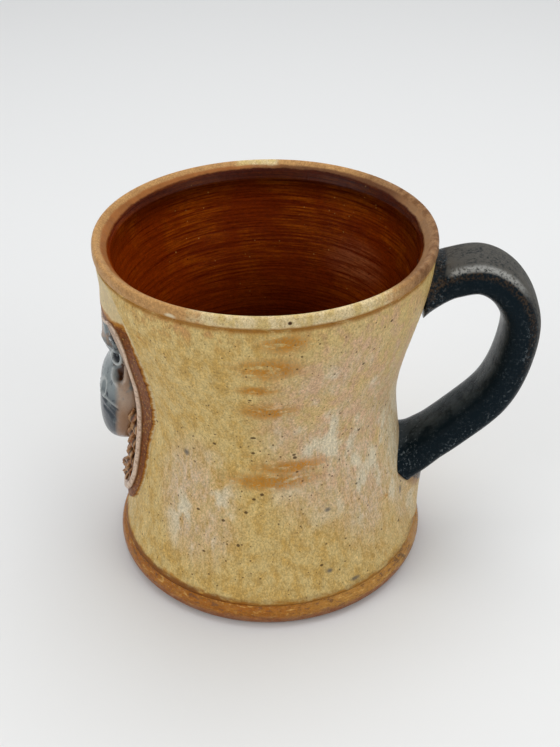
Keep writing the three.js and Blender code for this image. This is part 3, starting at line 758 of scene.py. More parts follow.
def handle_finish():
    """Blue-black gloss on the sides, matt grey-brown on the outer face with a painted sheen and a painted
    highlight, painted shade where it meets the wall, and brown where it is worn.
    """
    glaze = Finish("Blue-black glaze, matt grey on top")
    top, gap, along = [glaze.value(name) for name in ("top", "from_wall", "along")]
    speckle = glaze.cloud(0.8, detail=5, rough=0.75)
    mottle = glaze.cloud(4.0, detail=4, rough=0.6, shift=2)
    crowded = top.between(-0.25, 0.5) * along.between(0.26, 0.40) | gap.between(9.0, 1.0)
    clusters = glaze.cloud(4.5, shift=4).between(0.38, 0.54) * crowded
    flecks = glaze.cloud(0.75, (1, 1, 1.5), rough=0.7, shift=8).between(0.55, 0.66)
    colour = glaze.mix(flecks * clusters * 0.8, BLUE_BLACK, PALE_FLECK)
    colour.lay(PALE_FLECK, speckle.between(0.5, 0.7) * mottle.between(0.38, 0.6) * 0.22)
    colour.lay(PALE_FLECK, top.between(-0.7, -0.98) * mottle.between(0.3, 0.6) * 0.25)
    # painted sheen: the grey of the outer face is partly the matt glaze and partly a painted reflection of
    # the sky; next to the wall it is left dark as painted shade under the lip
    matt = top.between(0.66, 0.86) * (gap + mottle * 1.4).between(3.3, 4.2)
    grey = glaze.mix(speckle.between(0.44, 0.62) * 0.8, HANDLE_GREY, BLUE_BLACK)
    grey.lay(HANDLE_GREY, mottle.between(0.42, 0.7))
    colour.lay(grey, matt)
    # painted highlight: a broken pale line along the shoulder of the upper bend
    crest = top.between(0.60, 0.74) * top.between(0.94, 0.82) * gap.between(3.2, 5.5)
    colour.lay(HIGHLIGHT_GREY, crest * along.between(0.30, 0.22) * speckle.between(0.40, 0.54) * 0.85)
    edge = top.between(0.2, 0.45) * top.between(0.78, 0.6)
    colour.lay(WORN_BROWN, edge * speckle.between(0.44, 0.60) * along.between(0.60, 0.30) * 0.5)
    root = gap.between(6.0, 0.5) * speckle.between(0.46, 0.62)
    colour.lay(WORN_BROWN, root * along.between(0.2, 0.1) * 0.5)
    gloss = glaze.cross(matt, mottle.number(0.14, 0.26), speckle.number(0.42, 0.62))
    bump = glaze.relief(mottle, 0.25, glaze.relief(speckle, 0.12))
    return glaze.end(colour, gloss, bump, shine=0.055)


def tail_finish():
    """The cup's cream glaze, with the handle's dark glaze run down over its upper end."""
    glaze = Finish("Cream glaze under the handle")
    colour, mottle, ragged, bump = cream_glaze(glaze)
    edge = glaze.z - glaze.y * glaze.y * 0.087 - 18.2 + mottle * 4.0
    colour.lay(TOAST, edge.between(0.5, 3.0) * ragged.between(0.3, 0.5) * 0.8)
    dark = edge.between(3.2, 4.4)
    colour.lay(glaze.mix(mottle.between(0.4, 0.6), WORN_BROWN, BLUE_BLACK), dark)
    return glaze.end(colour, dark.number(0.4, 0.25), bump, shine=0.4)


def plaque_finish():
    """Speckled iron wash, under cream glaze on the upper slope."""
    wash = Finish("Speckled iron wash")
    cream, mottle, ragged, bump = cream_glaze(wash)
    cream.lay(MILK, mottle.number(0.2, 0.7))
    grain = wash.cloud(0.8, detail=5, rough=0.75)
    colour = wash.mix(grain.between(0.38, 0.62), IRON_DARK, IRON_BROWN)
    colour.lay(OCHRE, wash.specks(1.0, 0.6, 0.34) * 0.75)
    colour.lay(wash.mix(grain.between(0.45, 0.7), HEAD_PINK, BORDER_BROWN), wash.value("field"))
    edge = wash.value("glazed") + ragged.number(-0.4, 0.9)
    colour.lay(cream, edge.between(0.60, 0.76))
    colour.lay(AMBER, edge.between(0.42, 0.62) * edge.between(0.95, 0.72) * 0.9)
    return wash.end(colour, grain.number(0.34, 0.5), wash.relief(grain, 0.16, bump), shine=0.1)


def border_finish():
    """A pale, rounded coil with brown in its sides."""
    clay = Finish("Pale border glaze")
    mottle = clay.cloud(1.8, detail=5, rough=0.7)
    grain = clay.cloud(0.6, rough=0.7, shift=3)
    crest = clay.value("crest") + mottle * 0.5
    colour = clay.mix(crest.between(0.35, 0.85), BORDER_BROWN, BORDER_PALE)
    colour.lay(BORDER_BROWN, mottle.between(0.48, 0.62) * 0.7)
    colour.tone(grain, 0.4, 1.6)
    bump = clay.relief(grain, 0.1, clay.relief(mottle, 0.25))
    return clay.end(colour, mottle.number(0.28, 0.42), bump, shine=0.4)


def head_finish():
    """Grey-blue glaze, dark where it pooled and pinkish brown down the cheeks."""
    glaze = Finish("Grey-blue glaze")
    level, flank, hollow, ridge = [glaze.value(name) for name in ("level", "flank", "hollow", "ridge")]
    mottle = glaze.cloud(2.2, (1, 1, 1.6), detail=5, rough=0.65)
    blotch = glaze.cloud(5.0, (1, 1, 1.5), shift=5)
    grain = glaze.cloud(0.6, rough=0.7, shift=2)
    low = level.between(0.53, 0.44) * blotch.between(0.28, 0.44)
    high = level.between(0.62, 0.68) * mottle.between(0.40, 0.55)
    veins = mottle.between(0.52, 0.66) * level.between(0.60, 0.52)
    colour = glaze.mix(low | high | veins, HEAD_GREY, HEAD_BLUE)
    colour.lay(HEAD_PALE, ridge.between(0.25, 0.8) * 0.75)
    cheek = flank.between(0.86, 0.97) * level.between(0.64, 0.58)
    forehead = level.between(0.665, 0.70) * mottle.between(0.42, 0.56) * 0.7
    colour.lay(HEAD_PINK, cheek * mottle.between(0.28, 0.5) | forehead)
    jaw = cheek * level.between(0.50, 0.42)
    colour.lay(BORDER_BROWN, cheek * blotch.between(0.5, 0.62) * 0.4 | jaw * 0.95)
    colour.lay(PIT_BROWN, hollow.between(0.25, 0.75))
    colour.tone(grain, 0.8, 1.2)
    return glaze.end(colour, mottle.number(0.14, 0.26), glaze.relief(mottle, 0.16), shine=0.45)


def ear_finish():
    """Grey-blue glaze, darker in the hollow and pale at its edge."""
    glaze = Finish("Grey glaze of the ears")
    hollow = glaze.value("hollow")
    mottle = glaze.cloud(1.4, detail=4)
    colour = glaze.mix(mottle.between(0.4, 0.6), HEAD_GREY, HEAD_BLUE)
    colour.lay(HEAD_PALE, hollow.between(0.05, 0.3) * hollow.between(0.6, 0.3))
    colour.lay(HEAD_BLUE, hollow.between(0.35, 0.7))
    return glaze.end(colour, mottle.number(0.2, 0.35), glaze.relief(mottle, 0.1), shine=0.4)


def eye_finish():
    """Glossy black."""
    glaze = Finish("Glossy black eye")
    mottle = glaze.cloud(0.8)
    colour = glaze.mix(mottle.between(0.45, 0.7), PUPIL, BLUE_BLACK)
    return glaze.end(colour, mottle.number(0.12, 0.2), glaze.relief(mottle, 0.02), shine=0.25)


def eyelid_finish():
    """Pale grey glaze."""
    glaze = Finish("Pale grey eyelid")
    mottle = glaze.cloud(1.0)
    colour = glaze.mix(mottle.between(0.5, 0.7), HEAD_PALE, HEAD_GREY)
    return glaze.end(colour, mottle.number(0.2, 0.34), glaze.relief(mottle, 0.08))


def mane_finish():
    """Brown wash that is pale on the strands and nearly black between them."""
    clay = Finish("Brown-washed mane")
    strand = clay.value("strand")
    mottle = clay.cloud(1.3, detail=4)
    colour = clay.mix(mottle.between(0.4, 0.65), LOCK_BROWN, IRON_BROWN)
    colour.lay(LOCK_DARK, strand.between(0.62, 0.42))
    colour.lay(BORDER_PALE, strand.between(0.84, 0.97) * 0.6)
    return clay.end(colour, mottle.number(0.25, 0.42), clay.relief(mottle, 0.12), shine=0.4)


# The cup


def cup_wall(rule):
    """The wall as one closed profile: outside, groove and lip, inside, and the fillet to the floor."""
    heights = np.linspace(SLAB_TOP - 1.0, BAND_BOTTOM - 1.2, WALL_STEPS)
    spread = JOINT_SPREAD * fade(heights, SLAB_TOP + 1.4, SLAB_TOP)
    outside = np.column_stack([outer_radius(heights) + spread, heights])
    inner_lip = LIP_RADIUS - LIP_THICKNESS
    groove = np.array([[-0.12, -0.7], [-0.55, -0.25], [-0.1, 0.15]]) + [WALL_TOP_RADIUS, BAND_BOTTOM]
    band = np.array([[0.1, 0.75], [0.2, 1.7]]) + [LIP_RADIUS, BAND_BOTTOM]
    crest = [[0.1, -1.0], [-0.15, -0.35], [-0.55, -0.05], [-0.95, 0]]
    slope = [[-1.5, -0.2], [-2.1, -0.6], [-2.7, -1.1], [-3.3, -1.7]]
    crest_and_slope = np.array(crest + slope) + [LIP_RADIUS, MUG_HEIGHT]
    shoulder = np.array([[0.3, -2.4], [-0.1, -3.2]]) + [inner_lip, MUG_HEIGHT]
    last = [WALL_TOP_RADIUS - WALL_THICKNESS + 0.1, MUG_HEIGHT - 4.1]
    lip = spline(np.vstack([outside[-1], groove, band, crest_and_slope, shoulder, last]), LIP_STEPS)[1:]
    fillet_top = SLAB_TOP + FLOOR_FILLET
    depths = np.linspace(MUG_HEIGHT - 4.4, fillet_top, LIP_STEPS)
    inside = np.column_stack([outer_radius(depths) - WALL_THICKNESS, depths])
    turn = np.linspace(0, math.pi / 2, 14)[1:]
    fillet_radius = inside[-1, 0] - FLOOR_FILLET * (1 - np.cos(turn))
    fillet_height = fillet_top - (FLOOR_FILLET + 0.1) * np.sin(turn)
    profile = np.vstack([outside, lip, inside, np.column_stack([fillet_radius, fillet_height])])
    # 0 outside, and from the crest an even rise to 1 where the lip has met the wall inside
    crossing = np.clip((LIP_RADIUS - 0.8 - lip[:, 0]) / (LIP_THICKNESS - 0.6), 0, 1)
    crossing[: int(np.argmax(lip[:, 1]))] = 0
    inner = np.concatenate([np.zeros(len(outside)), crossing, np.ones(len(inside) + len(turn))])
    return turned_piece("cup_wall", profile, rule, True, inner, **CUP_THROWING)


def foot_roll(rule):
    """The bottom disc: flat below, a round roll with one tooled line at its edge, and the floor."""
    half = SLAB_TOP / 2
    turn = np.linspace(-math.pi / 2, math.pi / 2, FLOOR_STEPS)
    tooled = half - TOOLED_DEPTH * np.exp(-(((turn - TOOLED_TURN) / TOOLED_WIDTH) ** 2))
    roll = np.column_stack([SLAB_RADIUS - half + tooled * np.cos(turn), half + tooled * np.sin(turn)])
    out = np.linspace(0, SLAB_RADIUS - half, 40)[:-1]
    back_in = np.linspace(SLAB_RADIUS - half, 0, FLOOR_STEPS)[1:]
    underside = np.column_stack([out, 0 * out])
    floor = np.column_stack([back_in, SLAB_TOP + 0 * back_in])
    profile = np.vstack([underside, roll, floor])
    return turned_piece("foot_roll", profile, rule, False, **FOOT_THROWING)


# The handle


def ear_handle():
    """One strap, squarer on its outer face than underneath, that spreads where it meets the wall."""
    root_radius = float(outer_radius(UPPER_ROOT)) - 1.0
    points = [[root_radius, UPPER_ROOT]]
    for out, up in HANDLE_COURSE:
        points.append([blend(root_radius, HANDLE_REACH, out), blend(LOWER_ROOT, HANDLE_CROWN, up)])
    line = spline(points, HANDLE_STEPS)
    along = unit(np.gradient(line, axis=0))
    share = np.linspace(0, 1, HANDLE_STEPS)
    upper = UPPER_FLARE * np.maximum(1 - share / UPPER_FLARE_SPAN, 0) ** UPPER_FLARE_POWER
    lower = LOWER_FLARE * np.maximum(1 - (1 - share) / LOWER_FLARE_SPAN, 0)
    half_depth = (HANDLE_THICKNESS + lower) / 2
    half_width = (HANDLE_WIDTH + FLARE_ASIDE * upper + lower) / 2
    angle = round_turn(HANDLE_SIDES)
    power = np.where(np.cos(angle) > 0, TOP_SQUARENESS, UNDER_SQUARENESS)
    thick = np.sign(np.cos(angle)) * np.abs(np.cos(angle)) ** power
    wide = -np.sign(np.sin(angle)) * np.abs(np.sin(angle)) ** power
    below = np.maximum(-thick, 0)[None, :] * upper[:, None]
    x = line[:, :1] - along[:, 1:] * thick * half_depth[:, None] - FLARE_IN * below
    z = line[:, 1:] + along[:, :1] * thick * half_depth[:, None] - FLARE_DOWN * below
    y = wide * half_width[:, None]
    all_over = 0 * x
    rings = np.stack([x, y, z], axis=-1)
    middle = np.stack([line[:, :1] + all_over, all_over, line[:, 1:] + all_over], axis=-1)
    gap = np.hypot(x, y) - outer_radius(z)
    fillet = ROOT_FILLET * np.clip(1 - gap / ROOT_FILLET_REACH, 0, 1.2) ** 2
    rings = rings + unit(rings - middle) * fillet[..., None]
    values = {"top": thick + all_over, "from_wall": gap, "along": share[:, None] + all_over}
    return skin("ear_handle", rings, values=values)


def handle_tail():
    """The clay of the lower root, smeared down the wall to the foot and flush with it at its edges."""
    aside = np.linspace(-1, 1, TAIL_SIDES)
    rings = []
    for share in np.linspace(0, 1, TAIL_RINGS):
        z = blend(LOWER_ROOT - TAIL_DROP, SLAB_TOP - 0.2, share)
        radius = float(outer_radius(z))
        proud = blend(TAIL_HEIGHT, TAIL_FOOT_HEIGHT, share**TAIL_THINNING)
        half_turn = blend(TAIL_HALF_WIDTH, TAIL_FOOT_HALF_WIDTH, share) / radius
        # the tail's face, and then three points of its back inside the wall
        turn = np.append(aside, [0.9, 0, -0.9]) * half_turn
        face = radius + blend(-SINK, proud, (1 - aside**2) ** TAIL_ROUNDNESS)
        reach = np.append(face, [radius - TAIL_BACK] * 3)
        rings.append(np.column_stack([reach * np.cos(turn), reach * np.sin(turn), np.full(len(turn), z)]))
    return skin("handle_tail", rings)


# The medallion's outlines, in shares of its half width and of its height


def across(share):
    return np.asarray(share) * PLAQUE_HALF_WIDTH


def upward(share):
    return blend(PLAQUE_FOOT, PLAQUE_TOP, np.asarray(share))


def mirrored(*half):
    """A closed outline, alike on both sides, from its right half given from top to bottom."""
    right = np.array([[across(u), upward(v)] for u, v in half])
    left = right[1:-1][::-1] * [-1, 1]
    return spline(np.vstack([right, left]), OUTLINE_STEPS, closed=True)


FOOT_OUTLINE = mirrored(
    [0, 0.905], [0.25, 0.912], [0.47, 0.955], [0.66, 1], [0.86, 0.972], [0.97, 0.924], [1, 0.845],
    [0.963, 0.743], [0.866, 0.604], [0.76, 0.471], [0.681, 0.374], [0.65, 0.266], [0.594, 0.157],
    [0.453, 0.066], [0.234, 0.016], [0, 0],
)
BORDER_OUTLINE = mirrored(
    [0, 0.81], [0.375, 0.82], [0.656, 0.855], [0.82, 0.884], [0.895, 0.868], [0.865, 0.797],
    [0.755, 0.7], [0.64, 0.58], [0.562, 0.465], [0.548, 0.374], [0.54, 0.29], [0.51, 0.205],
    [0.43, 0.127], [0.25, 0.072], [0, 0.055],
)
HEAD_OUTLINE = mirrored(
    [0, 0.782], [0.16, 0.773], [0.27, 0.745], [0.325, 0.69], [0.315, 0.635], [0.335, 0.58],
    [0.39, 0.52], [0.41, 0.465], [0.4, 0.4], [0.345, 0.335], [0.24, 0.283], [0.12, 0.256], [0, 0.249],
)


def shrunk(outline, centre, share, proud):
    """An outline drawn in towards a centre, laid on the wall."""
    return on_wall(*blend(centre, outline, share).T, proud)


def plaque():
    """A raised collar round the medallion. Towards the top it swells out of the wall without an edge."""
    centre = np.array([0.0, float(upward(0.5))])
    nowhere = np.zeros(OUTLINE_STEPS)
    under = [shrunk(FOOT_OUTLINE, centre, share, -SINK) for share in (0.1, 0.3, 0.5, 0.7, 0.85, 0.95)]
    glazed = [nowhere] * len(under)
    shares = np.concatenate([np.linspace(-0.22, 0.2, 15), np.linspace(0.28, 1.0, 10)])
    collar = []
    for share in shares:
        flat = blend(FOOT_OUTLINE, BORDER_OUTLINE, share)
        flat[:, 1] = np.minimum(flat[:, 1], BAND_BOTTOM - 0.9)
        step = -0.2 + (PLAQUE_EDGE + 0.2) * fade(share, -0.05, 0.14)
        step += (FIELD_TOP - PLAQUE_EDGE) * fade(share, 0.1, 1.0)
        swell = blend(-0.2, FIELD_TOP, fade(share, -0.22, 1.0))
        height = blend(step, swell, fade(flat[:, 1], upward(0.72), upward(0.9)))
        height = blend(-0.1, height, fade(PLAQUE_TOP - flat[:, 1], -2.0, PLAQUE_FADE))
        collar.append(on_wall(*flat.T, -SINK if share == shares[0] else height))
        overrun = 0.75 * fade(share, 0.16, -0.02)
        glazed.append(np.maximum(fade(flat[:, 1], upward(0.872), upward(0.935)), overrun))
    field_shares = (0.93, 0.86, 0.78, 0.7, 0.6, 0.5, 0.4, 0.3, 0.2, 0.1)
    field = [shrunk(BORDER_OUTLINE, centre, share, FIELD_TOP) for share in field_shares]
    glazed += [nowhere] * len(field)
    values = {"glazed": glazed, "field": [nowhere] * (len(under) + len(collar)) + [nowhere + 1] * len(field)}
    hubs = [on_wall(*centre, -SINK), on_wall(*centre, FIELD_TOP)]
    return skin("plaque", under + collar + field, hubs=hubs, values=values)


def border():
    """A soft coil along the medallion's edge, thinner towards the top and pressed down unevenly."""
    along = unit(np.roll(BORDER_OUTLINE, -1, axis=0) - np.roll(BORDER_OUTLINE, 1, axis=0))
    side = np.column_stack([-along[:, 1], along[:, 0]])
    turn = round_turn(BORDER_SIDES)
    rings = []
    for number, (place, way) in enumerate(zip(BORDER_OUTLINE, side)):
        pressed = math.sin(number * PRESS_WAVE) * math.sin(number * SLOW_PRESS_WAVE + 1)
        thin = float(fade(place[1], upward(0.5), upward(0.8)))
        width = blend(BORDER_WIDTH, 0.5 * BORDER_WIDTH, thin) + 0.25 * pressed
        height = blend(BORDER_HEIGHT, 0.6 * BORDER_HEIGHT, thin) * (1 - 0.12 * pressed)
        flat = place + np.outer(np.cos(turn), way) * width / 2
        proud = FIELD_TOP + 0.1 + height * np.abs(np.sin(turn)) ** 1.4
        proud = np.where(np.sin(turn) > 0.01, proud, FIELD_TOP - 0.25)
        rings.append(on_wall(*flat.T, proud))
    crest = [np.maximum(np.sin(turn), 0)] * OUTLINE_STEPS
    return skin("border_coil", rings, looped=True, values={"crest": crest})


# The head: how proud it stands along its middle, and a section that falls away from there to its outline

HEAD_MIDDLE = np.array([0.0, float(upward(0.51))])
HEAD_PROFILE = np.array(
    [
        [0.249, HEAD_UNDER + 2], [0.27, MUZZLE_HEIGHT - 3.3], [0.31, MUZZLE_HEIGHT - 1.4],
        [0.38, MUZZLE_HEIGHT - 0.3], [0.46, MUZZLE_HEIGHT - 0.4], [0.53, MUZZLE_HEIGHT - 1.5],
        [0.61, BROW_HEIGHT - 0.7], [0.66, BROW_HEIGHT], [0.73, BROW_HEIGHT - 1.7],
        [0.782, HEAD_UNDER + 2.2],
    ]
)
BROW_ROUNDNESS = 1.6
MUZZLE_ROUNDNESS = 2.2
# The levels are spread out while the line is smoothed, so that they weigh as much as the heights
LEVEL_WEIGHT = [40, 1]
PROFILE_LINE = spline(HEAD_PROFILE * LEVEL_WEIGHT, 400) / LEVEL_WEIGHT
RIGHT_HALF = HEAD_OUTLINE[: OUTLINE_STEPS // 2 + 1][::-1]


def head_shares(s, z):
    """How far up the medallion a place is, and how far out from the middle to the head's outline."""
    level = (z - PLAQUE_FOOT) / (PLAQUE_TOP - PLAQUE_FOOT)
    reach = np.maximum(np.interp(z, RIGHT_HALF[:, 1], RIGHT_HALF[:, 0]), 0.01)
    return level, np.clip(np.abs(s) / reach, 0, 1)


def head_proud(s, z):
    level, aside = head_shares(s, z)
    roundness = blend(MUZZLE_ROUNDNESS, BROW_ROUNDNESS, fade(level, 0.5, 0.64))
    section = np.maximum(1 - aside**roundness, 0) ** (1 / roundness)
    return blend(HEAD_UNDER + HEAD_EDGE, np.interp(level, *PROFILE_LINE.T), section)


def on_head(u, v):
    s, z = across(u), upward(v)
    return on_wall(s, z, head_proud(s, z))


MOUTH = [(0.372, 0.447), (0.330, 0.456), (0.270, 0.461), (0.200, 0.463), (0.100, 0.455), (0.0, 0.445)]
UPPER_LIP = [(u, v + 0.018) for u, v in MOUTH]
EYE_SOCKET = [(0.306, 0.655)]
TEAR_PIT = [(0.305, 0.590), (0.322, 0.564)]
PIT_FLOOR = [(0.286, 0.583), (0.310, 0.568)]
PIT_RIDGE = [(0.25, 0.582), (0.272, 0.564), (0.310, 0.550), (0.345, 0.540)]
UNDER_EYE = [(0.213, 0.590), (0.270, 0.600), (0.325, 0.606)]
NOSTRIL = [(0.232, 0.520), (0.235, 0.500)]
NOSTRIL_RIM = [(0.213, 0.540), (0.186, 0.510), (0.200, 0.480), (0.250, 0.474), (0.272, 0.510), (0.245, 0.538)]
CHIN_FOLD = [(0.355, 0.400), (0.320, 0.425), (0.255, 0.432)]
BROW = [(0.16, 0.690), (0.24, 0.682), (0.31, 0.664)]
FOREHEAD = [(0.25, 0.745), (0.275, 0.715), (0.29, 0.69)]
# Each mark on the head's right side: its line in shares of the medallion's half width and height, its
# radius, how far it stands out, and how much of a hollow and of a ridge it is for the glaze
HEAD_MARKS = [
    (TEAR_PIT, 1.25, -1.7, 1.0, 0.0),
    (PIT_FLOOR, 0.9, -0.7, 0.9, 0.0),
    (PIT_RIDGE, 0.7, 0.6, 0.0, 1.0),
    (EYE_SOCKET, 2.9, -0.9, 0.0, 0.0),
    (UNDER_EYE, 0.5, -0.6, 0.8, 0.0),
    (NOSTRIL_RIM + NOSTRIL_RIM[:1], 0.55, 0.38, 0.0, 0.9),
    (NOSTRIL, 1.0, -0.6, 0.0, 0.0),
    (UPPER_LIP, 0.9, 0.28, 0.0, 0.6),
    (MOUTH, 0.5, -0.75, 0.0, 0.0),
    (CHIN_FOLD, 0.6, -0.4, 0.0, 0.0),
    (BROW, 1.3, 0.5, 0.0, 0.0),
    (FOREHEAD, 0.7, -0.45, 0.0, 0.0),
]


def head():
    """Rings from the outline to the middle, with the marks pressed in or raised along the surface."""
    shares = np.cos(np.linspace(0, 0.5 * math.pi, HEAD_RINGS + 1))[:-1]
    flat = np.array([blend(HEAD_MIDDLE, HEAD_OUTLINE, share) for share in shares])
    s, z = flat[..., 0], flat[..., 1]
    points = on_wall(s, z, head_proud(s, z))
    round_way = np.roll(points, -1, axis=1) - np.roll(points, 1, axis=1)
    normal = unit(np.cross(np.gradient(points, axis=0), round_way))
    outwards = np.sum(normal[..., :2] * points[..., :2], axis=-1)
    normal *= np.sign(outwards[HEAD_RINGS // 2].mean())
    depth, hollow, ridge = np.zeros((3, *s.shape))
    for side in (1, -1):
        for path, radius, height, as_hollow, as_ridge in HEAD_MARKS:
            line = np.array([on_head(side * u, v) for u, v in path])
            line = spline(line, 30) if len(line) > 1 else line
            gaps = np.linalg.norm(points[:, :, None, :] - line, axis=-1).min(axis=-1)
            mark = np.exp(-((gaps / radius) ** 2))
            depth += height * mark
            hollow = np.maximum(hollow, as_hollow * mark)
            ridge = np.maximum(ridge, as_ridge * mark)
    base = FIELD_TOP - 0.2
    under = [shrunk(HEAD_OUTLINE, HEAD_MIDDLE, share, base) for share in (0.2, 0.6, 1.0)]
    extra = np.zeros((len(under), OUTLINE_STEPS))
    level, flank = head_shares(s, z)
    values = {
        "level": np.vstack([extra + 0.5, level]),
        "flank": np.vstack([extra + 1, flank]),
        "hollow": np.vstack([extra, hollow]),
        "ridge": np.vstack([extra, ridge]),
    }
    hubs = [on_wall(*HEAD_MIDDLE, base), on_head(0.0, 0.51)]
    return skin("animal_head", under + list(points + normal * depth[..., None]), hubs=hubs, values=values)


def eye_frame(side):
    """An eye's place and the directions sideways, up and out from it."""
    facing = math.pi + side * EYE_TURN
    level = math.cos(EYE_TILT)
    out = np.array([math.cos(facing) * level, math.sin(facing) * level, math.sin(EYE_TILT)])
    sideways = np.array([-math.sin(facing), math.cos(facing), 0.0])
    turn = np.column_stack([sideways, np.cross(out, sideways), out])
    return on_head(side * EYE_PLACE[0], EYE_PLACE[1]) - EYE_SINK * out, turn


def eye(name, side):
    """A clay bead, a little flattened."""
    centre, turn = eye_frame(side)
    angle = round_turn(EYE_SIDES)
    rings = []
    for tilt in np.linspace(0, math.pi, EYE_RINGS)[1:-1]:
        round_way = [math.sin(tilt) * np.cos(angle), math.sin(tilt) * np.sin(angle)]
        local = np.column_stack([*round_way, np.full(EYE_SIDES, EYE_FLATNESS * math.cos(tilt))])
        rings.append(centre + (local * EYE_RADIUS) @ turn.T)
    pole = turn[:, 2] * EYE_FLATNESS * EYE_RADIUS
    return skin(name, rings, hubs=[centre + pole, centre - pole])


def eyelid(name, side):
    """A thin coil round the bead, heavier above it."""
    centre, turn = eye_frame(side)
    tube = round_turn(EYELID_SIDES)
    rings = []
    for angle in round_turn(EYELID_RINGS):
        thickness = EYELID_THICKNESS * (1 + 0.2 * max(math.sin(angle), 0))
        reach = EYE_RADIUS + thickness * (0.22 + 0.42 * np.cos(tube))
        height = 0.5 + thickness * 0.5 * np.sin(tube)
        local = np.column_stack([reach * math.cos(angle), 1.08 * reach * math.sin(angle), height])
        rings.append(centre + local @ turn.T)
    return skin(name, rings, looped=True)


def ear(name, side):
    """A leaf of clay that leans up and outwards, bowed along its length and dished on its face."""
    shares = np.linspace(0, 1, EAR_RINGS)
    root = np.array([across(EAR_PLACE[0]), upward(EAR_PLACE[1])])
    bow = np.outer(np.sin(math.pi * shares), [0, EAR_BOW])
    line = root + np.outer(shares, EAR_LEAN) * EAR_LENGTH - bow
    turn = round_turn(EAR_SIDES)
    on_top = np.sin(turn) > 0
    rings = []
    hollow = []
    for share, place, way in zip(shares, line, unit(np.gradient(line, axis=0))):
        fullness = max(math.sin(math.pi * share**0.75), 0.06) ** 0.7
        flat = place + np.outer(np.cos(turn), [-way[1], way[0]]) * EAR_WIDTH * fullness / 2
        dish = np.exp(-((np.cos(turn) / 0.52) ** 2)) * fade(share, 0.12, 0.35) * fade(share, 0.97, 0.75)
        dish = dish * on_top
        leaf = EAR_HEIGHT * fullness * np.maximum(np.sin(turn), 0) ** 0.7 - EAR_DISH * dish
        height = np.where(on_top, HEAD_UNDER + np.maximum(leaf, 0.05), FIELD_TOP - 0.1)
        rings.append(on_wall(side * flat[:, 0], flat[:, 1], height))
        hollow.append(dish)
    return skin(name, rings, values={"hollow": hollow})


# The mane: short twisted locks laid slantwise along the inside of the border


def twist_rule():
    """Makes a twisted strand of clay along each line, full in its middle and thin at its ends."""
    rule = Rule("Twisted locks", ["Steps"], ["Strand Width", "Turns", "Flatness"])
    bare = rule.add("GeometryNodeMeshToCurve", {"Mesh": rule.take("Geometry")})
    fine = rule.add("GeometryNodeResampleCurve", {"Curve": bare, "Count": rule.take("Steps")})
    along = rule.add("GeometryNodeSplineParameter", output="Factor")
    swell = rule.sum("SINE", rule.sum("POWER", along, 0.7) * math.pi) | LOCK_END_WIDTH
    width = rule.sum("POWER", swell, 0.7) * rule.take("Strand Width")
    thick = rule.add("GeometryNodeSetCurveRadius", {"Curve": fine, "Radius": width})
    tilt = along * rule.take("Turns") * (2 * math.pi)
    twisted = rule.add("GeometryNodeSetCurveTilt", {"Curve": thick, "Tilt": tilt})
    uneven = rule.add("ShaderNodeTexNoise", {"Scale": KNEAD_SCALE, "Detail": 2.0}, "Color")
    centred = rule.vector("SUBTRACT", {0: uneven, 1: (0.5, 0.5, 0.5)})
    kneaded = rule.vector("SCALE", {0: centred, "Scale": KNEAD_DEPTH})
    lobes = {"Points": 3, "Inner Radius": rule.take("Flatness"), "Outer Radius": 0.5}
    star = rule.add("GeometryNodeCurveStar", lobes)
    rounding = {"Curve": star, "Count": 4, "Radius": 0.1, "Limit Radius": True}
    section = rule.add("GeometryNodeFilletCurve", rounding, mode="POLY")
    reach = rule.vector("LENGTH", {0: rule.add("GeometryNodeInputPosition")}, "Value")
    crests = {"Geometry": section, "Name": "strand", "Value": reach * 2.0}
    marked = rule.add("GeometryNodeStoreNamedAttribute", crests, data_type="FLOAT", domain="POINT")
    radius = rule.add("GeometryNodeInputRadius")
    sweep = {"Curve": twisted, "Profile Curve": marked, "Scale": radius, "Fill Caps": True}
    strands = rule.add("GeometryNodeCurveToMesh", sweep)
    rule.end(rule.add("GeometryNodeSetPosition", {"Geometry": strands, "Offset": kneaded}))
    return rule


def mane(name, side, rule, material):
    """The locks of one side, from the cheek down to the chin."""
    path = spline([[across(u), upward(v)] for u, v in MANE_COURSE], MANE_STEPS)
    way = unit(np.gradient(path, axis=0))
    cosine, sine = math.cos(LOCK_SLANT), math.sin(LOCK_SLANT)
    steps = np.linspace(-0.5, 0.5, LOCK_POINTS)[:, None]
    lines = []
    for number in range(LOCKS_PER_SIDE):
        stop = round((MANE_STEPS - 1) * number / (LOCKS_PER_SIDE - 1))
        u, v = way[stop]
        slant = np.array([u * cosine - v * sine, u * sine + v * cosine])
        bend = LOCK_BEND * np.sin(np.pi * (steps + 0.5)) * [slant[1], -slant[0]]
        flat = path[stop] + steps * slant * LOCK_LENGTH + bend
        lines.append(on_wall(side * flat[:, 0], flat[:, 1], FIELD_TOP + 0.7))
    piece = line_object(name, lines)
    sizes = {"Strand Width": LOCK_WIDTH / MM_PER_METRE, "Turns": LOCK_TURNS, "Flatness": LOCK_FLATNESS}
    rule.apply(piece, Steps=LOCK_STEPS, Material=material, **sizes)
    return piece


# Making and dressing the pieces

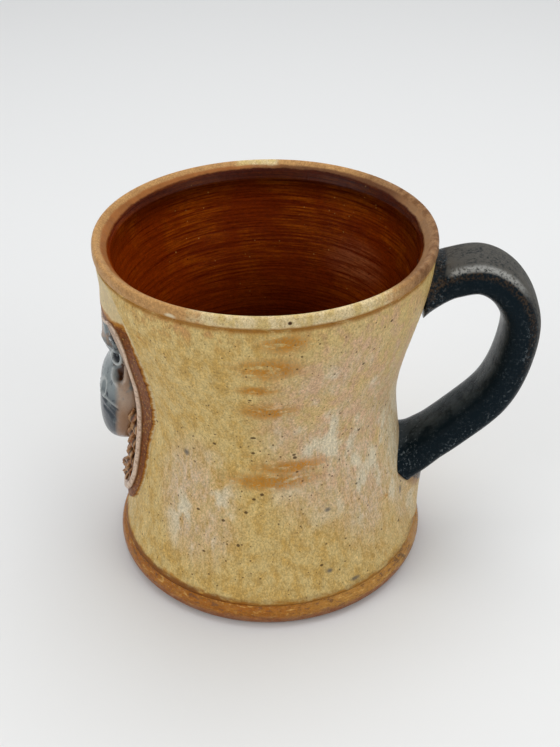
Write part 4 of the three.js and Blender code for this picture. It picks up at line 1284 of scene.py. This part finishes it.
thrown = throwing_rule()
dress(cup_wall(thrown), cup_finish(), "cream_glaze", "body_wall")
dress(foot_roll(thrown), foot_finish(), "foot_clay", "base_slab")
dress(ear_handle(), handle_finish(), "black_glaze", "handle")
dress(handle_tail(), tail_finish(), "cream_glaze", "handle")
dress(plaque(), plaque_finish(), "iron_wash", "medallion_plaque")
dress(border(), border_finish(), "pale_border", "medallion_border")
dress(head(), head_finish(), "grey_glaze", "head")
twisted = twist_rule()
ear_material = ear_finish()
eye_material = eye_finish()
eyelid_material = eyelid_finish()
mane_material = mane_finish()
for word, side in (("left", 1), ("right", -1)):
    dress(ear(f"{word}_ear", side), ear_material, "grey_glaze", f"ear_{word}")
    dress(eye(f"{word}_eye", side), eye_material, "eye_black", f"eye_{word}")
    dress(eyelid(f"{word}_eyelid", side), eyelid_material, "eyelid_grey", f"eyelid_{word}")
    locks = mane(f"{word}_mane", side, twisted, mane_material)
    dress(locks, mane_material, "mane_brown", *[f"mane_{word}_{n}" for n in range(1, LOCKS_PER_SIDE + 1)])


# The floor, the lights and the camera. Sizes here are in metres.

FLOOR_HALF = 3.0
FLOOR_COLOUR = (0.79, 0.80, 0.805, 1.0)
SKY_COLOUR = (0.76, 0.77, 0.775, 1.0)
SKY_LIGHT = 0.52
LAMP_TARGET = (0.0, 0.0, 0.05)
CAMERA_LENS = 54.07
CAMERA_PLACE = (
    (0.9982, -0.02574, 0.05412, 0.02103),
    (0.05923, 0.56175, -0.82518, -0.2672),
    (-0.00916, 0.8269, 0.56227, 0.23781),
    (0.0, 0.0, 0.0, 1.0),
)


def floor():
    """A wide sheet of pale paper under the mug."""
    mesh = bpy.data.meshes.new("floor")
    corners = [(-1, -1), (1, -1), (1, 1), (-1, 1)]
    mesh.from_pydata([(FLOOR_HALF * x, FLOOR_HALF * y, 0) for x, y in corners], [], [(0, 1, 2, 3)])
    paper = bpy.data.materials.new("Pale paper")
    paper.use_nodes = True
    shader = paper.node_tree.nodes["Principled BSDF"]
    shader.inputs["Base Color"].default_value = FLOOR_COLOUR
    shader.inputs["Roughness"].default_value = 0.9
    shader.inputs["Specular IOR Level"].default_value = 0.1
    mesh.materials.append(paper)
    piece = link_object("floor", mesh)


def sky():
    """Plain white light from all round. What is seen of it, also in a reflection, is a pale grey."""
    world = bpy.data.worlds.new("Studio")
    bpy.context.scene.world = world
    world.use_nodes = True
    nodes = world.node_tree.nodes
    lighting = nodes["Background"]
    lighting.inputs["Color"].default_value = (1.0, 1.0, 1.0, 1.0)
    lighting.inputs["Strength"].default_value = SKY_LIGHT
    tree = Tree(world.node_tree)
    shown = tree.add("ShaderNodeBackground", {"Color": SKY_COLOUR})
    rays = tree.node("ShaderNodeLightPath").outputs
    seen = Field(tree, rays["Is Camera Ray"]) | rays["Is Glossy Ray"] | rays["Is Transmission Ray"]
    choice = tree.add("ShaderNodeMixShader", {0: seen, 1: lighting.outputs[0], 2: shown})
    world.node_tree.links.new(choice.socket, nodes["World Output"].inputs["Surface"])


def panel(name, place, size, watts):
    """A soft square lamp that faces the mug."""
    light = bpy.data.lights.new(name, "AREA")
    light.shape = "RECTANGLE"
    light.size = light.size_y = size
    light.energy = watts
    back = unit(np.array(place) - LAMP_TARGET)
    right = unit(np.cross([0.0, 1.0, 0.01], back))
    turn = np.eye(4)
    turn[:3] = np.column_stack([right, np.cross(back, right), back, place])
    link_object(name, light).matrix_world = Matrix(turn.tolist())


floor()
sky()
panel("Overhead panel", (0.1, 0.15, 0.9), 0.7, 4.2)
panel("Left panel", (-0.8, -0.55, 0.55), 0.6, 2.8)
panel("Right panel", (0.75, -0.5, 0.6), 0.5, 1.7)

view = bpy.data.cameras.new("Camera")
view.lens = CAMERA_LENS
view.sensor_width = 36.0
camera = link_object("Camera", view)
camera.matrix_world = Matrix(CAMERA_PLACE)
bpy.context.scene.camera = camera
bpy.context.scene.view_settings.view_transform = "Standard"
